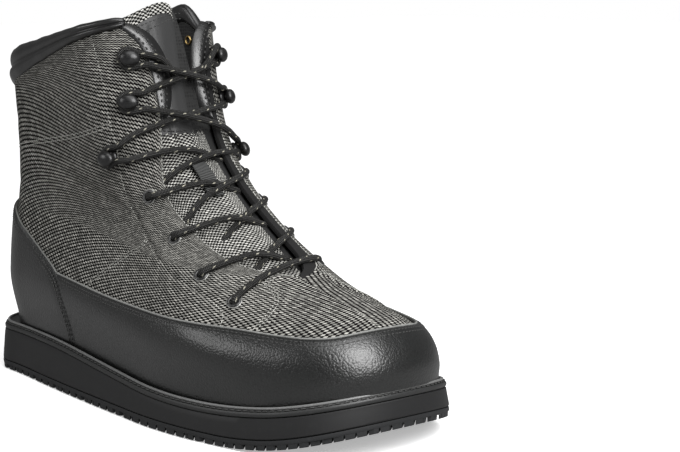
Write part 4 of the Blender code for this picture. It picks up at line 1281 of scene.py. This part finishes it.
# %% [markdown]
# ## The leather rand and the heel counter
# Both are pebbled leather panels that follow the skin from the welt up. The rand's top edge and the
# counter's front edge are cut edges with a thin paler line, partly the raw edge and partly a painted
# highlight, with a double row of stitches inside.
# %% Edges of the leather
def counter_turn(number):
    """Turn at which a row meets the counter's front edge, or 0 past its top."""
    turns = np.linspace(0, 0.8, 400)
    spots = skin(np.full(400, number), -turns)[0]
    rise = (spots[:, 2] - sole_top(spots[:, 0]) - GAP) / RISE
    ahead = spots[:, 0] / LENGTH - table_value(COUNTER_EDGE, rise, 1)
    return 0.0 if ahead[0] > 0 else float(np.interp(0.0, ahead[:300], turns[:300]))


COUNTER_ROWS = np.linspace(0, 10.4, 105)
COUNTER_TURNS = np.array([counter_turn(number) for number in COUNTER_ROWS])
COUNTER_TOP = float(COUNTER_ROWS[np.argmax(COUNTER_TURNS <= 0.0)])
print("Counter top row:", round(COUNTER_TOP, 2))


def rand_row(turn):
    """Row at which the rand ends at a turn."""
    numbers = np.linspace(1.5, 9, 300)
    spots = skin(numbers, np.full(300, turn))[0]
    rise = (spots[:, 2] - sole_top(spots[:, 0]) - GAP) / RISE
    return float(np.interp(0.0, rise - table_value(RAND_TOP, spots[:, 0] / LENGTH, 1), numbers))


RAND_TURNS = np.linspace(-1, 1, 161)
RAND_ROWS = np.array([rand_row(turn) for turn in RAND_TURNS])
print("Rand top rows from", RAND_ROWS.min().round(2), "to", RAND_ROWS.max().round(2))

# %% [markdown]
# ## The rand
# Each half of the rand starts at the counter's front edge, so its turns are found in a few passes. A thin
# pale bead is the cut edge, its pale grey partly the raw edge and partly a painted highlight, and two rows
# of stitches follow it.
# %% Rand
share = np.linspace(0, 1, 110)
height = np.linspace(0, 1, 34)
halves = []
for side in (-1, 1):
    turn = 0.36 + 0.64 * share[None, :] * np.ones((len(height), 1))
    for turn_pass in range(3):
        number = height[:, None] * np.interp(side * turn, RAND_TURNS, RAND_ROWS)
        start = np.interp(number, COUNTER_ROWS, COUNTER_TURNS)
        turn = start + (1 - start) * share[None, :]
    halves.append((number, side * turn))
rand_number = np.concatenate([halves[0][0], halves[1][0][:, -2::-1]], axis=1)
rand_turn = np.concatenate([halves[0][1], halves[1][1][:, -2::-1]], axis=1)
thinning = 0.0009 * ease((height[:, None] - 0.93) / 0.07)
rand_lift = OVERLAY_GAP + RAND_THICK - thinning + 0.0 * rand_turn
spots, normals = skin(rand_number, rand_turn, rand_lift)
spots[0, :, 2] = sole_top(spots[0, :, 0]) + GAP
rand = patch("rand_leather", spots, normals)
dress(rand, leather, leather, cut_edge_with_highlight)
wall(rand, 0.0012, rounding=0.00025, rim=2)
finish(rand, leather, ["rand"])
# Pale cut edge along the rand's top: partly the raw leather edge, partly a painted highlight.
thin_bead("rand_edge", spots[-1] + normals[-1] * 0.0001, normals[-1], 0.0006, cut_edge_with_highlight, sides=6)
tall = np.linalg.norm(np.diff(spots, axis=0), axis=-1).sum(0)
for number, inset in enumerate((0.0026, 0.0048)):
    rows = (1 - inset / tall) * rand_number[-1]
    path, over = skin(rows, rand_turn[-1], OVERLAY_GAP + RAND_THICK - 0.0002)
    stitches("rand_stitches_%d" % (number + 1), path[3:-3], over[3:-3], black_thread, pitch=0.0027,
             thick=0.0008)

# %% [markdown]
# ## The heel counter
# The counter is a patch round the heel that narrows to its top, and its rows of stitches run inside its two
# front edges.
# %% Heel counter
counter_rows = COUNTER_TOP * np.linspace(0, 1, 60) ** 0.9
counter_rows[-1] -= 0.02
ends = np.interp(counter_rows, COUNTER_ROWS, COUNTER_TURNS)
cross = np.linspace(-1, 1, 90)
number, turn = np.meshgrid(counter_rows, cross, indexing="ij")
turn = turn * np.maximum(ends, 0.004)[:, None]
lift = OVERLAY_GAP + COUNTER_THICK - 0.0010 * ease((np.abs(cross)[None, :] - 0.93) / 0.07)
lift = lift - 0.0010 * ease((number - COUNTER_TOP + 0.5) / 0.5)
spots, normals = skin(number, turn, lift)
spots[0, :, 2] = sole_top(spots[0, :, 0]) + GAP
counter = patch("counter_leather", spots, normals)
dress(counter, leather, leather, cut_edge_with_highlight)
wall(counter, 0.0016, rounding=0.00025, rim=2)
finish(counter, leather, ["heel_counter"])
rows = np.linspace(0.3, COUNTER_TOP - 0.8, 160)
edge = np.interp(rows, COUNTER_ROWS, COUNTER_TURNS)
for side, word in WORDS.items():
    here, over = skin(rows, side * edge, OVERLAY_GAP + COUNTER_THICK - 0.0002)
    beside = unit(np.cross(over, np.gradient(here, axis=0)) * -side)
    for step, inset in enumerate((0.0028, 0.0052)):
        path = here + beside * inset
        if np.abs(path[0, 0]) > np.abs(here[0, 0]):
            path = here - beside * inset
        stitches("counter_stitches_%s_%d" % (word, step + 1), path, over, black_thread, pitch=0.0027,
                 thick=0.0008)

# %% [markdown]
# ## The padded collar
# The collar is two soft rolls of thin leather over foam. Its section is drawn once and carried round the top
# row, with small puckers where the leather is gathered.
# %% Collar
def closed_curve(points, count):
    """A smooth closed curve through a ring of points."""
    table = np.concatenate([points[-3:], points, points[:3]])
    keys = np.arange(len(table), dtype=float) - 3
    table = np.column_stack([keys, table])
    at = np.linspace(0, len(points), count, endpoint=False)
    return np.column_stack([table_value(table, at, axis + 1) for axis in range(points.shape[1])])


COLLAR_AROUND = 44
COLLAR_ALONG = 120
COLLAR_END = 0.885
COLLAR_MIDDLE = np.array([-0.05, 0.5])
section = closed_curve(COLLAR_SECTION, COLLAR_AROUND)
turns = np.linspace(-COLLAR_END, COLLAR_END, COLLAR_ALONG)
top_line, top_normals = skin(np.full(COLLAR_ALONG, 20.0), turns)
top_line[:, 2] += top_lift(20.0, turns)
flat = unit(top_normals * [1, 1, 0])
tall = table_value(COLLAR_RISE, top_line[:, 0] / LENGTH, 1) * RISE
pucker = 1 + 0.035 * np.sin(turns * 47) * np.sin(turns * 13 + 1) + 0.02 * np.sin(turns * 91 + 2)
from_end = np.clip((COLLAR_END - np.abs(turns)) / 0.06, 0, 1)
end_round = np.sqrt(np.clip(1 - (1 - from_end)**2, 0.02, 1))
rings = []
for k in range(COLLAR_ALONG):
    scale = pucker[k] * (0.25 + 0.75 * end_round[k])
    ring = COLLAR_MIDDLE + (section - COLLAR_MIDDLE) * scale
    rise = tall[k] * (1 - 0.45 * float(ease((turns[k] - 0.57) / 0.13)))
    rings.append([top_line[k] + flat[k] * out * COLLAR_THICK + np.array([0, 0, GAP + up * rise])
                  for out, up in ring])
faces = ring_faces(COLLAR_ALONG, COLLAR_AROUND) + ring_ends(COLLAR_ALONG, COLLAR_AROUND)
collar = solid("collar_roll", np.array(rings).reshape(-1, 3), faces)
face_out(collar)
finish(collar, padding, ["collar"])

# %% [markdown]
# ## Under the throat
# The tongue, the lace keeper and the padded fronts of the lining lie under the throat, where the skin table
# has its gap. They are set out by row and by distance from the middle line, at a depth below the skin.
# %% Front of the last
FRONT_ROWS = np.linspace(7.2, 21.3, 62)
FRONT_ACROSS = np.linspace(-0.044, 0.044, 45)
front_places = np.linspace(0.30 * LENGTH, 1.05 * LENGTH, 420)
front_table = np.zeros((len(FRONT_ROWS), len(FRONT_ACROSS), 3))
for i, number in enumerate(FRONT_ROWS):
    rises = row_rise(number, front_places)
    for side in (-1, 1):
        wide = half_width(front_places, rises, side)
        start = int(np.argmax(wide))
        some = FRONT_ACROSS < 0 if side < 0 else FRONT_ACROSS >= 0
        x = np.interp(np.abs(FRONT_ACROSS[some]), wide[start:][::-1], front_places[start:][::-1])
        front_table[i, some] = np.column_stack([x, centre_line(x) + FRONT_ACROSS[some],
                                                row_rise(number, x) + sole_top(x) + GAP])
front_normals = np.array([outward(row) for row in front_table])
print("Front points:", front_table.shape)


def front_skin(number, across, depth):
    """Points under the throat at rows and distances across, at a depth below the skin."""
    number, across = np.broadcast_arrays(np.asarray(number, float), np.asarray(across, float))
    row = np.interp(number, FRONT_ROWS, np.arange(len(FRONT_ROWS)))
    column = np.interp(across, FRONT_ACROSS, np.arange(len(FRONT_ACROSS)))
    spots, normal = read_grid(front_table, front_normals, row, column)
    return spots - normal * np.asarray(depth)[..., None], normal


# %% [markdown]
# ## The tongue
# The tongue is one padded pad. Its top edge slopes down to the inner side, hollows mark its seams, and three
# finishes share it: pale cloth below, a plain black panel above, and dark lining on the inner side.
# %% Tongue
TONGUE_LOW, TONGUE_HIGH = TONGUE_PLAN[0, 0], TONGUE_PLAN[-1, 0]
TONGUE_SEAMS = (17.35, 20.15)
TOP_PANEL = 0.55
number, share = np.meshgrid(np.linspace(TONGUE_LOW, TONGUE_HIGH, 130), np.linspace(-1, 1, 61),
                            indexing="ij")
top = 20.35 + 0.60 * ease((share + 1) / 0.9) - 2.4 * ease((share + 0.12) / 0.8)
number = TONGUE_LOW + (number - TONGUE_LOW) * (top - TONGUE_LOW) / (TONGUE_HIGH - TONGUE_LOW)
half = np.where(share < 0, table_value(TONGUE_PLAN, number, 1),
                table_value(TONGUE_PLAN, number, 2)) * BALL_WIDTH
half = half * (1 + 0.28 * ease((number - 19.0) / 1.0) * (share < 0))
half = half * (1 - 0.22 * ease((number - 17.0) / 1.4) * (share > 0))
depth = TONGUE_DEPTH + 0.0004 * share**2 - 0.0006 * (1 - share**2)
depth = depth + 0.0007 * np.exp(-((number - TONGUE_SEAMS[0]) / 0.05)**2)
depth = depth + 0.0007 * np.exp(-((number - (top - TOP_PANEL)) / 0.03)**2)
depth = depth + 0.0006 * np.exp(-((share + 0.42) / 0.03)**2) * (number < 20.0)
depth = depth - 0.0003 * np.sin(number * 2.1) * (number < 19)
spots, normals = front_skin(number, share * half, depth)
tongue = patch("tongue_pad", spots, normals)
dress(tongue, tongue_cloth, panel_leather, lining)
rows_of = 0.5 * (number[:-1, :-1] + number[1:, 1:]).ravel()
shares_of = (share[:-1, :-1] + 0.5 * (share[0, 1] - share[0, 0])).ravel()
tops_of = 0.5 * (top[:-1, :-1] + top[1:, 1:]).ravel()
plain = ((rows_of > TONGUE_SEAMS[0]) & (rows_of < tops_of - TOP_PANEL)) | (shares_of > 0.40)
dark = (rows_of > TONGUE_SEAMS[0]) & (shares_of > 0.06)
tongue.data.polygons.foreach_set("material_index", np.where(dark, 2, plain).astype(np.int32))
wall(tongue, TONGUE_THICK, rounding=0.0014, inner=0)
finish(tongue, tongue_cloth, ["tongue"])
for step, seam in enumerate(TONGUE_SEAMS):
    for twin, shift in enumerate((-0.10, 0.10)):
        wide = np.linspace(-0.95, 0.30, 60)
        rows = seam + shift + (0.0 if step == 0 else 0.38) * (ease((wide + 1) / 1.2) - 0.63)
        path, over = front_skin(rows, wide * 0.027, TONGUE_DEPTH - 0.0004)
        stitches("tongue_stitches_%d_%d" % (step + 1, twin + 1), path, over, black_thread,
                 pitch=0.0024, thick=0.0006)

# %% [markdown]
# ## The lace keeper and the pull loop
# Both are short straps that bow away from what they are sewn to, one on the tongue and one up the back.
# %% Lace keeper and pull loop
keep_rows, keep_cross = np.meshgrid(np.linspace(14.7, 16.3, 30), np.linspace(-0.0047, 0.0047, 12),
                                    indexing="ij")
arch = np.sin(np.linspace(0, math.pi, 30))[:, None] * 0.0022
spots, normals = front_skin(keep_rows, keep_cross - 0.0072 + 0.0004 * (keep_rows - 16),
                            TONGUE_DEPTH - 0.0026 - arch + 0.0 * keep_cross)
keeper = patch("keeper_loop", spots, normals)
dress(keeper, webbing)
wall(keeper, 0.0012, rounding=0.0003)
finish(keeper, webbing, ["lace_keeper"])
loop_rows, loop_turns = np.meshgrid(np.linspace(16.6, 19.6, 30), np.linspace(-0.068, 0.068, 14),
                                    indexing="ij")
bow = np.sin(np.linspace(0, math.pi, 30))[:, None] * 0.0012
spots, normals = skin(loop_rows, loop_turns, 0.0020 + bow + 0.0 * loop_turns)
pull = patch("back_pull", spots, normals)
dress(pull, panel_leather)
wall(pull, 0.0014, rounding=0.0004)
finish(pull, panel_leather, ["pull_loop"])

# %% [markdown]
# ## The padded fronts of the lining
# On each side of the throat the lining ends in a soft roll. It runs from behind the cloth round its front
# edge and out over the gap, and it is widest halfway up.
# %% Padded fronts of the lining
FRONT_LOW, FRONT_HIGH = 17.7, 19.99
for side, word in WORDS.items():
    rows = np.linspace(FRONT_LOW, FRONT_HIGH, 60)
    share = np.linspace(0, 1, 20) * np.ones((len(rows), 1))
    edge = front_turn(rows)
    back_line = skin(rows, side * (edge - 0.045), -0.0010)[0]
    edge_line, edge_over = skin(rows, side * edge, -0.0014)
    swing = (rows - FRONT_LOW) / (FRONT_HIGH - FRONT_LOW)
    reach = (0.0125 if side < 0 else 0.0080) * np.sin(np.clip(swing, 0, 1) * math.pi)**0.7
    gap = np.abs(edge_line[:, 1] - centre_line(edge_line[:, 0]))
    tip_line, tip_over = front_skin(rows + 0.25 * swing, side * np.maximum(gap - reach, 0.002),
                                    WALL + 0.0016)
    first = np.clip(share / 0.3, 0, 1)[..., None]
    last = np.clip((share - 0.3) / 0.7, 0, 1)[..., None]
    spots = (back_line[:, None] * (1 - first) + edge_line[:, None] * (first - last)
             + tip_line[:, None] * last)
    over = edge_over[:, None] * (1 - last) + tip_over[:, None] * last
    swell = 0.0030 * np.sin(np.clip((share - 0.2) / 0.8, 0, 1) * math.pi)**0.8
    spots = spots + over * swell[..., None]
    roll = patch("lining_front_" + word, spots, over)
    dress(roll, padding)
    wall(roll, 0.0022, rounding=0.0007)
    finish(roll, padding)
    for step, place in enumerate((9, 13)):
        stitches("lining_holes_%s_%d" % (word, step + 1), spots[5:-5, place] + over[5:-5, place] * 0.0001,
                 over[5:-5, place], black_thread, pitch=0.0034, share=0.55, thick=0.0011)

# %% [markdown]
# ## The footbed
# The footbed fills the floor of the upper. Half of its section is carried along both sides of the lowest row.
# %% Insole
BED_STATIONS = 90
# Half section: inset from the upper and lift over the sole
BED_SECTION = [(0.0048, 0.0004), (0.0042, 0.0020), (0.0046, 0.0034), (0.0060, 0.0042), (0.0120, 0.0040)]
row = row_points(0.0, BED_STATIONS)
away = unit(outward(row) * [1, 1, 0])
points = []
for near in range(2, BED_STATIONS - 2):
    twin = 2 * (BED_STATIONS - 1) - near
    for at, half_section in ((near, BED_SECTION), (twin, BED_SECTION[::-1])):
        for inset, lift in half_section:
            x, y = (row[at] - away[at] * inset)[:2]
            points.append((x, y, float(sole_top(x)) + lift))
bed_rings, around = BED_STATIONS - 4, 2 * len(BED_SECTION)
bed = solid("footbed", points, ring_faces(bed_rings, around) + ring_ends(bed_rings, around))
face_out(bed)
finish(bed, footbed, ["insole"])

# %% [markdown]
# ## Eyelets, hooks and drains
# Each kind is modelled once from primitives: a rolled ring for an eyelet, a base, neck and knob for a hook,
# a bright ring for a drain. It is then set on the skin at every place, along the skin's normal.
# %% Metal parts
def ring_shape(outer, inner, height, steps=24):
    """A rolled metal ring that lies flat, with a short barrel through the wall."""
    bpy.ops.object.select_all(action="DESELECT")
    bpy.ops.mesh.primitive_torus_add(major_radius=(outer + inner) / 2, minor_radius=(outer - inner) / 2,
                                     major_segments=steps, minor_segments=8)
    ring = bpy.context.object
    bpy.ops.object.mode_set(mode="EDIT")
    bpy.ops.mesh.select_all(action="SELECT")
    bpy.ops.transform.resize(value=(1, 1, height / (outer - inner)), center_override=(0, 0, 0))
    bpy.ops.object.mode_set(mode="OBJECT")
    return take_shape(ring)


def disc_shape(radius, steps=20):
    """A small dished disc, as the dark inside of a hole."""
    bpy.ops.object.select_all(action="DESELECT")
    bpy.ops.mesh.primitive_cone_add(vertices=steps, radius1=radius, radius2=radius * 0.4, depth=0.0006)
    return take_shape(bpy.context.object)


def hook_shape():
    """A lace hook: a domed base, a neck that leans forward and a round knob."""
    pieces = []
    for kind, radius, size, height in (("SPHERE", 0.0055, (1, 1, 0.42), 0.0006),
                                       ("NECK", 0.0020, (1, 1, 1), 0.0028),
                                       ("SPHERE", 0.0050, (1.15, 0.86, 0.62), 0.0058)):
        bpy.ops.object.select_all(action="DESELECT")
        if kind == "SPHERE":
            bpy.ops.mesh.primitive_uv_sphere_add(segments=20, ring_count=12, radius=radius)
        else:
            bpy.ops.mesh.primitive_cylinder_add(vertices=16, radius=radius, depth=0.0046)
        part = bpy.context.object
        bpy.ops.object.mode_set(mode="EDIT")
        bpy.ops.mesh.select_all(action="SELECT")
        bpy.ops.transform.resize(value=size, center_override=(0, 0, 0))
        bpy.ops.transform.translate(value=(0.35 * height, 0, height))
        bpy.ops.object.mode_set(mode="OBJECT")
        pieces.append(take_shape(part))
    points, faces, start = [], [], 0
    for some_points, some_faces in pieces:
        points.append(some_points)
        faces += [tuple(corner + start for corner in face) for face in some_faces]
        start += len(some_points)
    return np.concatenate(points), faces


def surface_frame(share, rise_share, side):
    """A point on the upper with its normal and the direction toward the front along it."""
    x = np.array([share * LENGTH])
    rise = np.array([rise_share * RISE])
    spot = form_points(x, rise, side)
    normal = outward(spot)[0]
    ahead = (form_points(x + 0.002, rise, side) - spot)[0]
    ahead = ahead - normal * float(np.dot(ahead, normal))
    return spot[0], normal, ahead / np.linalg.norm(ahead)


lace_spots = {}
for side in (-1, 1):
    for step, row in enumerate(LACE_POINTS):
        share, rise_share = row[:2] if side < 0 else row[2:4]
        lace_spots[(side, step)] = surface_frame(share, rise_share, side)
drain_spots = [surface_frame(share, rise_share, 1) for share, rise_share in DRAIN_POINTS]


def set_out(name, shape, places, coat, lift, nodes=()):
    """Copies of one shape on the skin at every place."""
    spots, normals, ahead = [np.array(rows) for rows in zip(*places)]
    piece = copies(name, shape, spots + normals * lift, ahead, normals)
    return finish(piece, coat, nodes)


both = [(side, step) for side in (-1, 1) for step in range(4)]
eyelet_places = [lace_spots[key] for key in both]
# Each eyelet gets a thin pale outer ring over its black painted ring: a painted highlight on the edge.
set_out("eyelet_highlight_rings", ring_shape(0.0044, 0.0037, 0.0008), eyelet_places, eyelet_highlight_metal,
        0.0006)
set_out("eyelet_rings", ring_shape(0.0041, 0.0022, 0.0016), eyelet_places, eyelet_paint,
        0.0008,
        ["eyelet_%s_%d" % (WORDS[side], step + 1) for side, step in both])
set_out("eyelet_wells", disc_shape(0.0026), eyelet_places, lining, 0.0006)
both = [(side, step) for side in (-1, 1) for step in range(4, 7)]
set_out("lace_hooks", hook_shape(), [lace_spots[key] for key in both], hook_paint, 0.0006,
        ["hook_%s_%d" % (WORDS[side], step - 3) for side, step in both])
lift = OVERLAY_GAP + RAND_THICK
set_out("drain_rings", ring_shape(0.0033, 0.0017, 0.0013, 20), drain_spots, drain_metal,
        lift + 0.0003, ["drain_%d" % (step + 1) for step in range(8)])
set_out("drain_wells", disc_shape(0.0021, 16), drain_spots, lining, lift + 0.0001)

# One small brass ring shows on the lining of the inner side
RING_ROW, RING_TURN = 19.5, 0.60
spots, normals = skin(np.array([RING_ROW]), np.array([RING_TURN]))
spots[:, 2] += top_lift(RING_ROW, RING_TURN)
set_out("lining_ring", ring_shape(0.0030, 0.0017, 0.0012, 20),
        [(spots[0] - normals[0] * (WALL + 0.0004), -normals[0], np.array([0, 0, 1.0]))], rivet_brass,
        0.0)

# %% [markdown]
# ## The lace
# The lace is one round braided cord about 4 mm thick. Each crossing comes up from under the facing on one
# side, passes over the tongue and goes down through the next eyelet on the other side. Above the eyelets it
# runs round the necks of the hooks, and its ends stop behind the top crossing.
# %% Lace helpers
CORD = 0.0019
CORD_AROUND = 12
CORD_HEIGHT = 0.0027
UP = np.array([0, 0, 1.0])


def cord_piece(name, spots):
    """A round cord along a smooth path, with a UV map that runs along and around it."""
    path = smooth_path(spots, 90)
    ahead = unit(np.gradient(path, axis=0))
    over = np.array([0.3, -0.2, 1.0])
    rings, uv = [], []
    run = run_lengths(path)
    for k in range(len(path)):
        over = over - ahead[k] * float(over @ ahead[k])
        over /= np.linalg.norm(over)
        beside = np.cross(ahead[k], over)
        thick = CORD * (1 - 0.5 * max(0.0, 1 - min(k, len(path) - 1 - k) / 1.5))
        for step in range(CORD_AROUND + 1):
            angle = 2 * math.pi * step / CORD_AROUND
            rings.append(path[k] + (over * math.cos(angle) + beside * math.sin(angle)) * thick)
            uv.append((run[k], step / CORD_AROUND))
    width = CORD_AROUND + 1
    faces = [(k * width + a, (k + 1) * width + a, (k + 1) * width + a + 1, k * width + a + 1)
             for k in range(len(path) - 1) for a in range(CORD_AROUND)]
    faces.append(tuple(range(CORD_AROUND)))
    faces.append(tuple((len(path) - 1) * width + a for a in range(CORD_AROUND))[::-1])
    cord = solid(name, rings, faces, uv)
    merge(cord, 0.00001)
    face_out(cord)
    return cord


def gap_near(spot, side):
    """Half gap of the throat on one side at the level of a point."""
    rise = spot[2] - sole_top(spot[0]) - GAP
    numbers = np.linspace(THROAT_ROW + 1, TOP_ROW, 80)
    miss = [abs(row_rise(number, spot[0]) - rise) for number in numbers]
    return throat_gap(numbers[int(np.argmin(miss))], side)


def crossing(start, stop, tucked, bow=0.0):
    """Points of a crossing from beside one lace point to another, or to the far edge of the throat."""
    first, last = lace_spots[start][0], lace_spots[stop][0]
    share = np.linspace(0, 1, 101)
    line = on_form(first + (last - first) * share[:, None])
    across = (line[:, 1] - centre_line(line[:, 0])) * stop[0]
    edge = float(share[np.argmax(across > gap_near(last, stop[0]) - 0.0005)])
    end = edge if tucked else 1.0
    share = np.linspace(0.0, end, 12)
    line = on_form(first + (last - first) * share[:, None])
    normal = outward(line)
    dip = 0.0062 * ease((share / end - 0.55) / 0.45) if tucked else np.zeros(12)
    sag = np.sin(share / end * math.pi) * bow
    return line + normal * (CORD_HEIGHT - dip)[:, None] - UP * sag[:, None], normal


def arc(size):
    """A lift that swells in the middle of a crossing's twelve points."""
    return size * np.sin(np.linspace(0, math.pi, 12))[:, None]


print("Lace cord:", round(2000 * CORD, 1), "mm thick")

# %% [markdown]
# ## The crossings through the eyelets
# A bar joins the two lowest eyelets. Then four pairs of crossings come up through the eyelets, or round the
# lowest hooks for the fourth pair, and dive under the facing on the other side.
# %% Crossings through the eyelets
start, normal = lace_spots[(-1, 0)][:2]
stop, stop_normal = lace_spots[(1, 0)][:2]
line = crossing((-1, 0), (1, 0), False, 0.001)[0]
bar = np.concatenate([[start - normal * 0.003, start + normal * 0.0008], line[1:-1],
                      [stop + stop_normal * 0.0008, stop - stop_normal * 0.003]])
finish(cord_piece("lace_bar_cord", bar), lace_coat, ["lace_bar"])
for step in range(4):
    for side in (-1, 1):
        start, normal, ahead = lace_spots[(side, step + 1)]
        line, over = crossing((side, step + 1), (-side, step), True, 0.0018 + 0.0006 * (side < 0))
        line = line + over * (arc(0.0016) if side < 0 else 0.0)
        if step < 3:
            path = np.concatenate([[start - normal * 0.003, start + normal * 0.0008], line[1:]])
        else:
            back = start - ahead * 0.0042 + normal * 0.0030
            low = start - ahead * 0.0010 - UP * 0.0042 + normal * 0.0030
            path = np.concatenate([[back + UP * 0.001, low], line[2:]])
        tail = line[-1] + (line[-1] - line[-2]) * 0.8 - over[-1] * 0.002
        name = "lace_%s_%d" % (WORDS[side], step + 1)
        nodes = ["lace_cross_%d" % (step + 1)] if side < 0 else []
        finish(cord_piece(name, np.concatenate([path, [tail]])), lace_coat, nodes)

# %% [markdown]
# ## The crossings between the hooks
# The two upper pairs run from hook to hook, round the back of each neck. The crossing that starts on the
# outer side lies on top.
# %% Crossings between the hooks
for step in (4, 5):
    for side in (-1, 1):
        start, normal, ahead = lace_spots[(side, step + 1)]
        stop, stop_normal, stop_ahead = lace_spots[(-side, step)]
        line, over = crossing((side, step + 1), (-side, step), False, 0.0012)
        line = line + over * (arc(0.0036) if side < 0 else 0.0006)
        head = [start - ahead * 0.0050 + normal * 0.0030 + UP * 0.0012,
                start - ahead * 0.0012 + normal * 0.0030 - UP * 0.0042]
        foot = [stop - stop_ahead * 0.0010 + stop_normal * 0.0030 + UP * 0.0042,
                stop - stop_ahead * 0.0050 + stop_normal * 0.0030 - UP * 0.0008]
        path = np.concatenate([head, line[2:-2], foot])
        name = "lace_%s_%d" % (WORDS[side], step + 1)
        nodes = ["lace_cross_%d" % (step + 1)] if side < 0 else []
        finish(cord_piece(name, path), lace_coat, nodes)

# %% [markdown]
# ## The ends of the lace
# From each top hook the lace turns in behind the top crossing and stops there, since the photo shows no bow.
# %% Ends at the top hooks
for side in (-1, 1):
    start, normal, ahead = lace_spots[(side, 6)]
    middle = front_skin(18.75, side * 0.004, TONGUE_DEPTH - 0.003)[0]
    half = front_skin(19.2 if side < 0 else 19.0, side * 0.013, TONGUE_DEPTH - 0.0075)[0]
    path = [start - ahead * 0.0048 + normal * 0.0030 - UP * 0.0008,
            start - ahead * 0.0008 + normal * 0.0031 + UP * 0.0050,
            start + ahead * 0.0060 + normal * 0.0030 + UP * 0.0034, half, middle]
    finish(cord_piece("lace_end_%s" % WORDS[side], np.array(path)), lace_coat)
